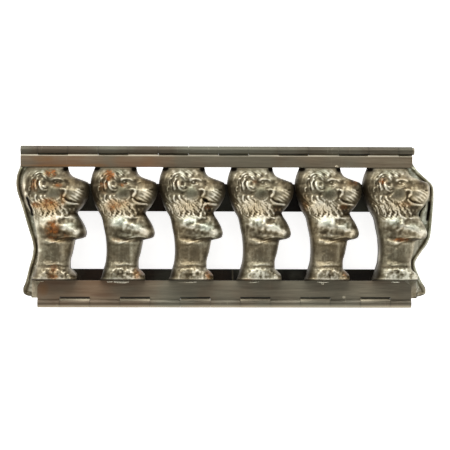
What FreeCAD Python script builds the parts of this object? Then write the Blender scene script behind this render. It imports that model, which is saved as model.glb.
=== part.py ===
"""Hinged tin mould for a row of standing lions, in millimetres.

Two halves of thin pressed sheet meet at a flat parting plane. Each half is a row of lion shells held by
two steel leaves, and the leaves' rolled knuckles interleave round a pin above the heads and below the feet.
The mould lies on the two straps behind its rear half: X runs along the row, Y from feet to heads,
Z from the straps to the front. The origin is under the middle of the whole mould.
"""

import FreeCAD, Part
import math
import os

# Sheets and small clearances
shell_sheet = 0.5
leaf_sheet = 1.0
strap_sheet = 1.2
seam_gap = 0.1
knuckle_gap = 0.12
notch_gap = 0.45
edge_gap = 0.1
pin_clearance = 0.05
leaf_clearance = 0.2
overrun = 1.0

# Row of figures
figure_count = 6
figure_pitch = 45.26
figure_width = 44.2
relief_depth = 16.6

# Hinges
hinge_spacing = 101.5
barrel_radius = 3.0
pin_radius = 1.95
bore_flats = 8
knuckle_length = 20.0
roll_slit = 0.35
hook_drop = 0.8
top_strip_width = 7.55
bottom_strip_width = 11.55
top_first_knuckle = 11.4
top_last_knuckle = 9.3
top_full_knuckles = 12
bottom_first_knuckle = 14.7
bottom_last_knuckle = 14.0
bottom_full_knuckles = 11
top_leaf_start = 2.9
bottom_leaf_start = 14.3

# Cut corners of the leaves, along the leaf and across it
top_corner_cut = (1.5, 2.4)
bottom_left_cut = (2.3, 4.0)
bottom_right_cut = (4.7, 3.4)

# Closing pin
pin_head_radius = 2.4
pin_head_length = 1.3
pin_end_recess = 0.3

# Straps behind the rear shells
strap_width = 18.7
head_strap_share = 0.612
head_strap_ends = (6.5, 4.5)
foot_strap_ends = (10.5, 12.5)
strap_corner = 2.0

# Rim round the end margins
rim_width = 1.3
rim_height = 2.0

# Cross-sections of the figure, from the soles to the crown. Each has its height as a share of the figure's
# height, the back and front outline as shares of its width, and its fullness as a share of the relief depth.
section_shares = [
    (0.000, 0.136, 0.823, 0.00),
    (0.018, 0.151, 0.820, 0.80),
    (0.062, 0.181, 0.800, 1.06),
    (0.100, 0.200, 0.738, 1.02),
    (0.150, 0.220, 0.718, 0.86),
    (0.260, 0.239, 0.755, 0.80),
    (0.350, 0.234, 0.790, 0.82),
    (0.384, 0.226, 0.945, 0.84),
    (0.426, 0.213, 0.959, 0.87),
    (0.474, 0.198, 0.933, 0.88),
    (0.520, 0.181, 0.896, 0.86),
    (0.600, 0.125, 0.830, 0.82),
    (0.642, 0.088, 0.892, 0.86),
    (0.682, 0.061, 0.934, 0.88),
    (0.770, 0.018, 0.995, 0.93),
    (0.820, 0.002, 1.000, 0.95),
    (0.862, 0.000, 0.976, 0.89),
    (0.900, 0.012, 0.828, 0.87),
    (0.950, 0.030, 0.716, 0.70),
    (1.000, 0.062, 0.684, 0.00),
]

# Swellings and hollows of the figure: place along and up, reach along and up, as shares of its width and
# height, then the rise as a share of the relief depth.
ear_share = (0.31, 0.830, 0.13, 0.060, 0.11)
eye_share = (0.50, 0.862, 0.14, 0.040, -0.09)
brow_share = (0.56, 0.905, 0.20, 0.040, 0.07)
bridge_share = (0.70, 0.850, 0.10, 0.040, -0.05)
nose_share = (0.94, 0.850, 0.10, 0.050, 0.12)
cheek_share = (0.50, 0.760, 0.16, 0.080, 0.14)
muzzle_share = (0.86, 0.770, 0.22, 0.080, 0.22)
chin_share = (0.76, 0.636, 0.24, 0.036, -0.13)
throat_share = (0.76, 0.598, 0.22, 0.040, -0.13)
mane_share = (0.28, 0.690, 0.30, 0.110, 0.09)
shoulder_share = (0.45, 0.520, 0.18, 0.070, 0.10)
forearm_share = (0.66, 0.470, 0.20, 0.050, 0.11)
hand_share = (0.86, 0.426, 0.16, 0.052, 0.14)
elbow_share = (0.30, 0.440, 0.12, 0.050, -0.05)
under_arm_share = (0.64, 0.365, 0.32, 0.034, -0.10)
paw_share = (0.40, 0.350, 0.13, 0.036, 0.07)
belly_share = (0.52, 0.260, 0.30, 0.090, 0.05)
hem_share = (0.50, 0.150, 0.34, 0.024, 0.04)
toes_share = (0.72, 0.055, 0.14, 0.040, 0.09)
feature_shares = [
    ear_share,
    eye_share,
    brow_share,
    bridge_share,
    nose_share,
    cheek_share,
    muzzle_share,
    chin_share,
    throat_share,
    mane_share,
    shoulder_share,
    forearm_share,
    hand_share,
    elbow_share,
    under_arm_share,
    paw_share,
    belly_share,
    hem_share,
    toes_share,
]

# Facets from the back outline to the front one, and how full the pressed form is between them
section_steps = 8
fullness_power = 0.55

# Outer edge of the end margins, from under the top leaf to under the bottom one: place along as a share of
# the figure's width, measured from that figure's back, and height as a share of the figure's height.
left_margin_shares = [
    (-0.020, 1.100),
    (-0.034, 1.007),
    (-0.084, 0.919),
    (-0.0945, 0.859),
    (-0.084, 0.801),
    (-0.040, 0.713),
    (0.093, 0.455),
    (0.163, 0.310),
    (0.167, 0.285),
    (0.160, 0.237),
    (0.050, -0.018),
    (0.015, -0.079),
    (0.018, -0.107),
    (0.063, -0.132),
    (0.208, -0.142),
]
right_margin_shares = [
    (0.700, 1.100),
    (0.790, 1.004),
    (0.982, 0.892),
    (1.051, 0.848),
    (1.071, 0.818),
    (1.074, 0.755),
    (1.057, 0.596),
    (1.027, 0.394),
    (1.002, 0.358),
    (0.894, 0.261),
    (0.790, 0.155),
    (0.825, 0.083),
    (0.958, -0.082),
    (0.950, -0.112),
    (0.894, -0.128),
    (0.749, -0.145),
]

# Places worked out from the sizes above
bore_radius = pin_radius + pin_clearance
notch_reach = barrel_radius + notch_gap
tooth_reach = barrel_radius + edge_gap
top_axis = hinge_spacing / 2
bottom_axis = -hinge_spacing / 2
crown_line = top_axis - notch_reach - top_strip_width - leaf_clearance
sole_line = bottom_axis + notch_reach + bottom_strip_width + leaf_clearance
figure_height = crown_line - sole_line
row_length = (figure_count - 1) * figure_pitch + figure_width
left_reach = -min(share for share, _ in left_margin_shares) * figure_width
right_reach = (max(share for share, _ in right_margin_shares) - 1) * figure_width
mould_length = left_reach + row_length + right_reach
mould_start = -mould_length / 2
row_start = mould_start + left_reach
parting_height = strap_sheet + relief_depth + seam_gap / 2
front_plane = parting_height + seam_gap / 2

along_axis = FreeCAD.Vector(1, 0, 0)
across_axis = FreeCAD.Vector(0, 1, 0)
up_axis = FreeCAD.Vector(0, 0, 1)


def block(low, high):
    """A box between two corners."""
    size = [b - a for a, b in zip(low, high)]
    return Part.makeBox(*size, FreeCAD.Vector(*low))


def plate(points, low, high):
    """A flat plate with the given outline in X and Y, from one height to another."""
    wire = Part.makePolygon([FreeCAD.Vector(x, y, low) for x, y in points + points[:1]])
    return Part.Face(wire).extrude(up_axis * (high - low))


def in_figure(shares, back):
    """A place in the row from its shares of the figure's width and height."""
    along, up = shares
    return back + along * figure_width, sole_line + up * figure_height


def crest_share(step):
    """How far the pressed form has risen at one step of a section, 1 at its middle."""
    if step in (0, section_steps):
        return 0
    crest = math.sin(math.pi * (section_steps // 2) / section_steps)
    return (math.sin(math.pi * step / section_steps) / crest) ** fullness_power


def feature_rise(along, up):
    """What the swellings and hollows add at a place given in shares of the figure."""
    rise = 0
    for centre, height, reach_along, reach_up, amount in feature_shares:
        across, above = (along - centre) / reach_along, (up - height) / reach_up
        rise += amount * max(0, 1 - across ** 2 - above ** 2)
    return rise


def relief_point(section, step):
    """A point of the pressed sheet's outer face, over the parting plane at height 0."""
    up, back, front, fullness = section
    turn = math.cos(math.pi * step / section_steps)
    along = (back + front) / 2 - (front - back) / 2 * turn
    rise = fullness + (feature_rise(along, up) if fullness else 0)
    depth = relief_depth * min(1, rise * crest_share(step))
    return FreeCAD.Vector(along * figure_width, sole_line + up * figure_height, depth)


def sheet_normal(grid, row, step):
    """The outward direction of the sheet at a grid point, level along the rim."""
    last_row, last_step = len(grid) - 1, section_steps
    along = grid[row][min(step + 1, last_step)] - grid[row][max(step - 1, 0)]
    up = grid[min(row + 1, last_row)][step] - grid[max(row - 1, 0)][step]
    normal = along.cross(up)
    if row in (0, last_row) or step in (0, last_step):
        normal = FreeCAD.Vector(0, 0, 0)
        normal.x = {0: -1, last_step: 1}.get(step, 0)
        normal.y = {0: -1, last_row: 1}.get(row, 0)
        return normal
    return normal.normalize()


def rim_loop(grid):
    """The grid's border, once round."""
    loop = list(grid[0])
    loop += [line[-1] for line in grid[1:]]
    loop += list(reversed(grid[-1]))[1:]
    loop += [line[0] for line in reversed(grid[1:-1])]
    return loop + loop[:1]


def facet(*corners):
    """A flat face whose outer side sees its corners anticlockwise."""
    return Part.Face(Part.makePolygon(list(corners) + [corners[0]]))


def skin(grid, outward):
    """Flat facets over a grid, with diagonals that run down towards its four corners."""
    faces = []
    middle_row, middle_step = (len(grid) - 1) / 2, section_steps / 2
    for row in range(len(grid) - 1):
        for step in range(section_steps):
            a, b = grid[row][step], grid[row][step + 1]
            c, d = grid[row + 1][step + 1], grid[row + 1][step]
            if (row < middle_row) == (step < middle_step):
                corners = [(a, b, c), (a, c, d)]
            else:
                corners = [(a, b, d), (b, c, d)]
            faces += [facet(p, q, r) if outward else facet(r, q, p) for p, q, r in corners]
    return faces


def figure_grids():
    """The outer and inner faces of one figure's shell, as two grids of points."""
    outer = [[relief_point(section, step) for step in range(section_steps + 1)] for section in section_shares]
    inner = [
        [point - sheet_normal(outer, row, step) * shell_sheet for step, point in enumerate(line)]
        for row, line in enumerate(outer)
    ]
    return outer, inner


def figure_shell():
    """One lion pressed in sheet: two skins joined along the rim."""
    outer, inner = figure_grids()
    outside, inside = rim_loop(outer), rim_loop(inner)
    corners = zip(outside[:-1], inside[:-1], inside[1:], outside[1:])
    rim = [facet(*quad) for quad in corners]
    skins = Part.Shell(skin(outer, True) + skin(inner, False) + rim)
    skins.sewShape()
    return Part.Solid(skins)


def tab(first, last, low, high):
    """A flat tab that reaches from the figure under a leaf."""
    corners = [(first, low), (last, low), (last, high), (first, high)]
    return plate(corners, 0, shell_sheet)


def figure_tabs():
    """The tabs above the crown and below the soles, which are soldered under the leaves."""
    _, sole_back, sole_front, _ = [share * figure_width for share in section_shares[0]]
    _, crown_back, crown_front, _ = [share * figure_width for share in section_shares[-1]]
    half_sheet = shell_sheet / 2
    return [
        tab(crown_back, crown_front, crown_line - half_sheet, top_axis - notch_reach),
        tab(sole_back, sole_front, bottom_axis + notch_reach, sole_line + half_sheet),
    ]


def inset_points(points, width):
    """An open outline moved sideways by a width, to its left, with mitred corners."""
    moved = []
    for i, point in enumerate(points):
        before = points[max(i - 1, 0)]
        after = points[min(i + 1, len(points) - 1)]
        directions = []
        for start, end in ((before, point), (point, after)):
            run = math.hypot(end[0] - start[0], end[1] - start[1])
            if run:
                directions.append(((end[0] - start[0]) / run, (end[1] - start[1]) / run))
        normal = [-sum(d[1] for d in directions), sum(d[0] for d in directions)]
        length = math.hypot(*normal)
        normal = [n / length for n in normal]
        mitre = sum(-d[1] * normal[0] + d[0] * normal[1] for d in directions) / len(directions)
        moved.append((point[0] + normal[0] * width / mitre, point[1] + normal[1] * width / mitre))
    return moved


def end_margin(shares, inner_side):
    """The flat margin outside an end figure, with its turned-up rim. It ends within the figure's own sheet."""
    edge = [in_figure(share, 0) for share in shares]
    top, bottom = top_axis - notch_reach, bottom_axis + notch_reach
    edge = [(x, min(max(y, bottom), top)) for x, y in edge]
    inside = figure_width / 2
    flat = plate([(inside, top)] + edge + [(inside, bottom)], 0, shell_sheet)
    outer, inner = figure_grids()
    seam = [(a + b) / 2 for a, b in zip(rim_loop(outer), rim_loop(inner))]
    figure = Part.Face(Part.makePolygon(seam)).extrude(up_axis * (shell_sheet + overrun))
    flat = flat.cut(figure)
    seen = edge[1:-1]
    rim = plate(seen + list(reversed(inset_points(seen, inner_side * rim_width))), 0, rim_height)
    return [max(flat.Solids, key=lambda solid: solid.Volume), rim]


def lion(number):
    """A front shell in its place in the row, lying on the parting plane."""
    parts = figure_tabs()
    if number == 0:
        parts += end_margin(left_margin_shares, 1)
    if number == figure_count - 1:
        parts += end_margin(right_margin_shares, -1)
    shell = figure_shell().fuse(parts).removeSplitter()
    shell.translate(FreeCAD.Vector(row_start + number * figure_pitch, 0, front_plane))
    return shell


def to_rear(shape):
    """The same piece on the other side of the parting plane."""
    return shape.mirror(FreeCAD.Vector(0, 0, parting_height), up_axis)


def knuckle_spans(start, first, full, last):
    """Start and end of every knuckle along a hinge."""
    ends = [start, start + first]
    ends += [ends[-1] + knuckle_length * (i + 1) for i in range(full)]
    ends.append(ends[-1] + last)
    return list(zip(ends[:-1], ends[1:]))


def pin_bore(first, last):
    """The bore of a knuckle: flats that just clear the pin, from one place along the axis to another."""
    corner = bore_radius / math.cos(math.pi / bore_flats)
    points = []
    for flat in range(bore_flats + 1):
        turn = 2 * math.pi * flat / bore_flats
        points.append(FreeCAD.Vector(first, corner * math.cos(turn), corner * math.sin(turn)))
    return Part.Face(Part.makePolygon(points)).extrude(along_axis * (last - first))


def rolled_knuckle(start, end, hooked):
    """One knuckle rolled from the leaf, round an axis along X. The leaf comes in from -Y, in front.

    A closed knuckle ends in a thin slit under its leaf. A hooked one ends just past the pin on its far side,
    so that it lifts off the pin backwards.
    """
    first, last = start + knuckle_gap / 2, end - knuckle_gap / 2
    centre = FreeCAD.Vector(first, 0, 0)
    leaf_back = seam_gap / 2 + shell_sheet
    barrel = Part.makeCylinder(barrel_radius, last - first, centre, along_axis)
    bore = pin_bore(first, last)
    ring = barrel.cut(bore)
    reach = barrel_radius + overrun
    if hooked:
        ring = ring.cut(block((first, -reach, -reach), (last, 0, leaf_back)))
        ring = ring.cut(block((first, -reach, -reach), (last, reach, -hook_drop)))
    else:
        ring = ring.cut(block((first, -reach, leaf_back - roll_slit), (last, 0, leaf_back)))
    tongue = block(
        (first, -tooth_reach, leaf_back),
        (last, -(bore_radius + barrel_radius) / 2, leaf_back + leaf_sheet),
    )
    return [ring, tongue.cut(bore)]


def leaf(spans, owner, strip_width, cuts, hooked):
    """A hinge leaf: a flat strip over the shells' tabs, with every second knuckle rolled from its edge.

    Its notches are as wide as the other leaf's knuckles, so that the two leaves' teeth overlap a little.
    """
    start, end = spans[0][0], spans[-1][1]
    edge, free = -tooth_reach, -notch_reach - strip_width
    (left_x, left_y), (right_x, right_y) = cuts
    outline = [
        (start, edge),
        (start, free + left_y),
        (start + left_x, free),
        (end - right_x, free),
        (end, free + right_y),
        (end, edge),
    ]
    leaf_back = seam_gap / 2 + shell_sheet
    parts = []
    for first, last in spans[owner::2]:
        parts += rolled_knuckle(first, last, hooked)
    strip = plate(outline, leaf_back, leaf_back + leaf_sheet)
    for first, last in spans[1 - owner::2]:
        first = start if first == start else first + knuckle_gap / 2
        last = end if last == end else last - knuckle_gap / 2
        strip = strip.cut(block((first, -notch_reach, leaf_back), (last, 0, leaf_back + leaf_sheet)))
    return strip.fuse(parts).removeSplitter()


def place_hinge(shape, axis_line, rear):
    """A leaf moved from its own axis to the hinge's. The bottom hinge is turned over, leaf upwards."""
    if axis_line < 0:
        shape = shape.mirror(FreeCAD.Vector(0, 0, 0), across_axis)
    shape = shape.translated(FreeCAD.Vector(0, axis_line, parting_height))
    return to_rear(shape) if rear else shape


def top_spans():
    """The knuckles of the top hinge. The first is the front leaf's."""
    start = mould_start + top_leaf_start
    return knuckle_spans(start, top_first_knuckle, top_full_knuckles, top_last_knuckle)


def bottom_spans():
    """The knuckles of the bottom hinge. The first and the last are the front leaf's."""
    start = mould_start + bottom_leaf_start
    return knuckle_spans(start, bottom_first_knuckle, bottom_full_knuckles, bottom_last_knuckle)


def closing_pin():
    """The pin that is drawn out to the right to open the mould, with its end upset to a low head."""
    spans = top_spans()
    start, end = spans[0][0] + pin_end_recess, spans[-1][1]
    centre = FreeCAD.Vector(start, top_axis, parting_height)
    shank = Part.makeCylinder(pin_radius, end - start, centre, along_axis)
    centre.x = end
    head = Part.makeCylinder(pin_head_radius, pin_head_length, centre, along_axis)
    return shank.fuse(head).removeSplitter()


def hinge_pin():
    """The pin that stays in the bottom knuckles, a little short of their ends."""
    spans = bottom_spans()
    start, end = spans[0][0] + pin_end_recess, spans[-1][1] - pin_end_recess
    centre = FreeCAD.Vector(start, bottom_axis, parting_height)
    return Part.makeCylinder(pin_radius, end - start, centre, along_axis)


def strap(low, ends):
    """A flat strap with cut corners, soldered across the backs of the rear shells."""
    high = low + strap_width
    start, end = row_start + ends[0], row_start + row_length - ends[1]
    outline = [
        (start + strap_corner, low),
        (end - strap_corner, low),
        (end, low + strap_corner),
        (end, high - strap_corner),
        (end - strap_corner, high),
        (start + strap_corner, high),
        (start, high - strap_corner),
        (start, low + strap_corner),
    ]
    return plate(outline, 0, strap_sheet)


def all_nodes():
    """Every piece by name."""
    square = (0, 0)
    nodes = {}
    for number in range(figure_count):
        front = lion(number)
        nodes[f"front_lion_{number + 1}"] = front
        nodes[f"rear_lion_{number + 1}"] = to_rear(front)
    top, bottom = top_spans(), bottom_spans()
    hooks = leaf(top, 0, top_strip_width, (square, top_corner_cut), True)
    top_loops = leaf(top, 1, top_strip_width, (square, top_corner_cut), False)
    bottom_cuts = (bottom_left_cut, bottom_right_cut)
    front_loops = leaf(bottom, 0, bottom_strip_width, bottom_cuts, False)
    rear_loops = leaf(bottom, 1, bottom_strip_width, bottom_cuts, False)
    nodes["front_top_leaf"] = place_hinge(hooks, top_axis, False)
    nodes["rear_top_leaf"] = place_hinge(top_loops, top_axis, True)
    nodes["front_bottom_leaf"] = place_hinge(front_loops, bottom_axis, False)
    nodes["rear_bottom_leaf"] = place_hinge(rear_loops, bottom_axis, True)
    nodes["closing_pin"] = closing_pin()
    nodes["hinge_pin"] = hinge_pin()
    nodes["rear_head_strap"] = strap(sole_line + head_strap_share * figure_height, head_strap_ends)
    nodes["rear_foot_strap"] = strap(bottom_axis + notch_reach, foot_strap_ends)
    return nodes


os.makedirs("parts", exist_ok=True)
for name, shape in all_nodes().items():
    shape.exportStep(f"parts/{name}.step")
    print(name, len(shape.Solids), shape.isValid(), round(shape.Volume, 1))
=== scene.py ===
import math

import bpy
import numpy as np
from mathutils import Matrix, Vector


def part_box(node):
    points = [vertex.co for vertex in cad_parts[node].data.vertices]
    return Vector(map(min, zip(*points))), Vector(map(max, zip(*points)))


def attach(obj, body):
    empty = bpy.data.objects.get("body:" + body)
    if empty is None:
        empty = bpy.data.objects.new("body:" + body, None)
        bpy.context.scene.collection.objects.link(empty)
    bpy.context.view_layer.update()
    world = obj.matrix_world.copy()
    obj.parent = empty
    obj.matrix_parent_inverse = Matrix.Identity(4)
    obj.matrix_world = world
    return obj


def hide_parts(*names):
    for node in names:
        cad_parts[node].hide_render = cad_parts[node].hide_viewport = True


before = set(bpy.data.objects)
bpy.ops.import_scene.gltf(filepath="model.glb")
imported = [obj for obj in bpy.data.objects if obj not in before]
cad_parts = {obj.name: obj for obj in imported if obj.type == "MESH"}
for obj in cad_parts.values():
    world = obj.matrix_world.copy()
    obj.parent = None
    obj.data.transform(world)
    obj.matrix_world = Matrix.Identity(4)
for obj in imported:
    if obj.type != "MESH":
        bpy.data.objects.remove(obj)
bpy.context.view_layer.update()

MM = 0.001

# The number of figures, and sizes in millimetres, that the frame's boxes don't tell
FIGURES = 6
SHEET = 0.5
LEAF_THICKNESS = 1.0
LEAF_CLEARANCE = 0.2
KNUCKLE = 20
TOP_FIRST_KNUCKLE = 11.4
BOTTOM_FIRST_KNUCKLE = 14.7


def cad_box(node):
    """The lowest and highest corner of a CAD node, in millimetres."""
    return [np.array(corner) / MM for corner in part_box(node)]


figure_low, figure_high = cad_box("front_lion_2")
next_low, _ = cad_box("front_lion_3")
_, rear_high = cad_box("rear_lion_2")
top_leaf_low, _ = cad_box("front_top_leaf")
bottom_leaf_low, bottom_leaf_high = cad_box("front_bottom_leaf")
PITCH = next_low[0] - figure_low[0]
WIDTH = figure_high[0] - figure_low[0]
DEPTH = figure_high[2] - figure_low[2]
FRONT_PLANE = figure_low[2]
REAR_PLANE = rear_high[2]
TOP_SEAM = top_leaf_low[0] + TOP_FIRST_KNUCKLE
BOTTOM_SEAM = bottom_leaf_low[0] + BOTTOM_FIRST_KNUCKLE
CROWN = top_leaf_low[1] - LEAF_CLEARANCE
SOLE = bottom_leaf_high[1] + LEAF_CLEARANCE
TAB_TOP, TAB_BOTTOM = figure_high[1], figure_low[1]
ROW_START = figure_low[0] - PITCH

# The figure in pixels of the photograph, measured from the rearmost point of its mane
SNOUT_PX = 66.2
CROWN_PX = 167.3
SOLE_PX = 280.3
BACK_PX = [
    (4.1, 167.3), (1.2, 176), (0, 184), (0.3, 190.6), (2, 196.4), (4.2, 204), (7, 210.2), (11.2, 218),
    (13.2, 227.3), (15.4, 239.6), (16, 250.2), (15.4, 260), (13.2, 269), (11.1, 276.3), (9, 280.3),
]
FRONT_PX = [
    (45.3, 167.3), (46.2, 171.5), (48.6, 175.6), (53, 178), (59, 180.2), (64.6, 182.6), (66.2, 186),
    (66.2, 190.6), (65.4, 196.4), (62.7, 202), (58.9, 207.8), (56.2, 210.6), (54.6, 213), (56, 216.4),
    (59, 221), (62.6, 228.5), (63.7, 233.2), (62.6, 236.9), (58.4, 238.9), (52.6, 240), (51.6, 244),
    (50, 252), (47.6, 262), (47.6, 267.5), (51.2, 271.6), (54, 275.2), (54.5, 280.3),
]
# How full the form is at a share of its height
FULLNESS_SHARES = [
    (1.04, 0.00), (1.04, 0.07), (1.00, 0.10), (0.90, 0.13), (0.86, 0.16), (0.80, 0.26), (0.82, 0.35),
    (0.87, 0.43), (0.88, 0.474), (0.86, 0.52), (0.82, 0.60), (0.86, 0.642), (0.90, 0.70), (0.93, 0.77),
    (0.93, 0.82), (0.89, 0.862), (0.87, 0.90), (0.86, 1.00),
]
# Raised and sunk forms, as shares: place along and up, reach along and up, and how much they add
FORM_SHARES = [
    (0.31, 0.830, 0.13, 0.060, 0.08), (0.50, 0.862, 0.14, 0.040, -0.05), (0.56, 0.905, 0.20, 0.040, 0.05),
    (0.70, 0.850, 0.10, 0.040, -0.03), (0.94, 0.850, 0.10, 0.050, 0.10), (0.50, 0.760, 0.13, 0.070, 0.09),
    (0.86, 0.770, 0.22, 0.080, 0.20), (0.76, 0.636, 0.24, 0.036, -0.11), (0.76, 0.598, 0.22, 0.040, -0.12),
    (0.28, 0.690, 0.30, 0.110, 0.09), (0.45, 0.520, 0.18, 0.070, 0.10), (0.66, 0.470, 0.20, 0.050, 0.10),
    (0.86, 0.426, 0.16, 0.052, 0.14), (0.30, 0.440, 0.12, 0.050, -0.05), (0.64, 0.365, 0.32, 0.034, -0.06),
    (0.40, 0.350, 0.13, 0.036, 0.05), (0.52, 0.260, 0.30, 0.090, 0.05), (0.50, 0.150, 0.34, 0.024, 0.02),
    (0.72, 0.055, 0.14, 0.040, 0.09),
]
FORM_SPREAD = 1.2
CROWN_ROUND = 8.5
SOLE_ROUND = 1.4

# The outer edge of the two end margins, in pixels from the same point of their own figure
LEFT_EDGE_PX = [
    (-1.4, 156), (-2.2, 166.4), (-3.6, 170.6), (-5.5, 176.4), (-6.2, 183.2), (-5.5, 189.8), (-2.6, 199.8),
    (1.5, 213), (6.2, 229), (10.4, 243), (11.1, 248.3), (10.5, 253.8), (7, 267.5), (3.2, 282.7),
    (0.9, 289.6), (1.2, 292.8), (4.1, 295.6), (13.8, 297.4),
]
RIGHT_EDGE_PX = [
    (46.3, 156), (52.4, 166.8), (60.8, 175.6), (65, 179.4), (69.4, 184.2), (70.9, 188.6), (71.1, 195),
    (70, 213), (69, 224.4), (68, 234.5), (65.8, 241), (59.2, 251), (54.2, 258.4), (52.3, 263),
    (54.6, 271.2), (59.2, 281.3), (63.2, 289.4), (62.9, 293.3), (59.2, 295.4), (49.6, 297.4),
]


def hermite(pairs, at):
    """A smooth curve through (value, place) pairs that doesn't overshoot, read at the given places."""
    y, x = np.array(pairs, float).T
    gaps = np.diff(x)
    slopes = np.diff(y) / gaps
    tangents = np.zeros(len(x))
    same = slopes[:-1] * slopes[1:] > 0
    weight_a, weight_b = 2 * gaps[1:] + gaps[:-1], gaps[1:] + 2 * gaps[:-1]
    with np.errstate(divide="ignore", invalid="ignore"):
        inner = (weight_a + weight_b) / (weight_a / slopes[:-1] + weight_b / slopes[1:])
    tangents[1:-1] = np.where(same, inner, 0)
    tangents[0], tangents[-1] = slopes[0], slopes[-1]
    at = np.clip(at, x[0], x[-1])
    i = np.clip(np.searchsorted(x, at) - 1, 0, len(gaps) - 1)
    t = (at - x[i]) / gaps[i]
    h00, h10 = 2 * t**3 - 3 * t**2 + 1, t**3 - 2 * t**2 + t
    h01, h11 = -2 * t**3 + 3 * t**2, t**3 - t**2
    return h00 * y[i] + h10 * gaps[i] * tangents[i] + h01 * y[i + 1] + h11 * gaps[i] * tangents[i + 1]


LINE_STEPS = 5


def smooth_line(points):
    """A Catmull-Rom line through points."""
    points = np.array(points, float)
    padded = np.vstack([2 * points[0] - points[1], points, 2 * points[-1] - points[-2]])
    line = []
    for a, b, c, d in zip(padded[:-3], padded[1:-2], padded[2:-1], padded[3:]):
        for t in np.arange(LINE_STEPS) / LINE_STEPS:
            line.append(0.5 * (2 * b + (c - a) * t + (2 * a - 5 * b + 4 * c - d) * t**2
                               + (3 * b - a - 3 * c + d) * t**3))
    line.append(points[-1])
    return np.array(line)


def distance_to_line(u, v, line):
    """The distance of each grid point to a line, and how far along the line the nearest place is, 0 to 1."""
    spans = np.linalg.norm(np.diff(line, axis=0), axis=1)
    reached = np.concatenate([[0], np.cumsum(spans)])
    best = np.full(u.shape, 1e9)
    along = np.zeros(u.shape)
    for i, (a, b) in enumerate(zip(line[:-1], line[1:])):
        run = b - a
        t = np.clip(((u - a[0]) * run[0] + (v - a[1]) * run[1]) / max(run @ run, 1e-9), 0, 1)
        d = np.hypot(u - a[0] - t * run[0], v - a[1] - t * run[1])
        nearer = d < best
        best = np.where(nearer, d, best)
        along = np.where(nearer, (reached[i] + t * spans[i]) / reached[-1], along)
    return best, along


def stroke(u, v, points, width, height, fading=0.22):
    """A rounded ridge, or with a negative height a groove, along a smooth line. Its ends fade out."""
    d, along = distance_to_line(u, v, smooth_line(points))
    ends = np.clip(np.minimum(along, 1 - along) / fading, 0, 1)
    return height * ends * ends * (3 - 2 * ends) * np.exp(-((d / width) ** 2))


def dome(u, v, centre, radii, height):
    """A smooth round swelling or hollow."""
    r = ((u - centre[0]) / radii[0]) ** 2 + ((v - centre[1]) / radii[1]) ** 2
    return height * np.clip(1 - r, 0, 1) ** 2


def falling(t):
    """A soft step from 1 down to 0 about t = 0."""
    return 1 / (1 + np.exp(t))


def spots(u, v, table):
    """Soft round spots of a table, the strongest at each place."""
    value = np.zeros(u.shape)
    for row in table:
        value = np.maximum(value, dome(u, v, *row))
    return value


def drawn(u, v, strokes, domes=()):
    """Strokes and round forms of two tables, added up."""
    z = np.zeros(u.shape)
    for row in strokes:
        z += stroke(u, v, *row)
    for row in domes:
        z += dome(u, v, *row)
    return z


def eased(count, amount):
    """Places from 0 to 1, drawn together in the middle, or at both ends where the amount is negative."""
    t = np.linspace(0, 1, count)
    return t + amount * np.sin(2 * np.pi * t) / np.pi


def lowered(points, by):
    """A line of pixels moved down."""
    return [(a, b + by) for a, b in points]


CHEEK_PX = (33, 193.4)
CHEEK_REACH_PX = (6.4, 4.6)
CHEEK_WAVER = 0.16
CHEEK_SOFT = 3.2
CHEEK_STEEP = 20
CHEEK_PAINT_SOFT = 4.0


def cheek_patch(u, v, soft):
    """The smooth cheek: a patch of height 1 with rounded corners and a wavering soft edge."""
    du, dv = (u - CHEEK_PX[0]) / CHEEK_REACH_PX[0], (v - CHEEK_PX[1]) / CHEEK_REACH_PX[1]
    reach = (np.abs(du) ** 3 + np.abs(dv) ** 3) ** (1 / 3) + CHEEK_WAVER * value_noise(u / 3, v / 3, 61)
    return falling((reach - 1) * CHEEK_STEEP / soft)


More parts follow.
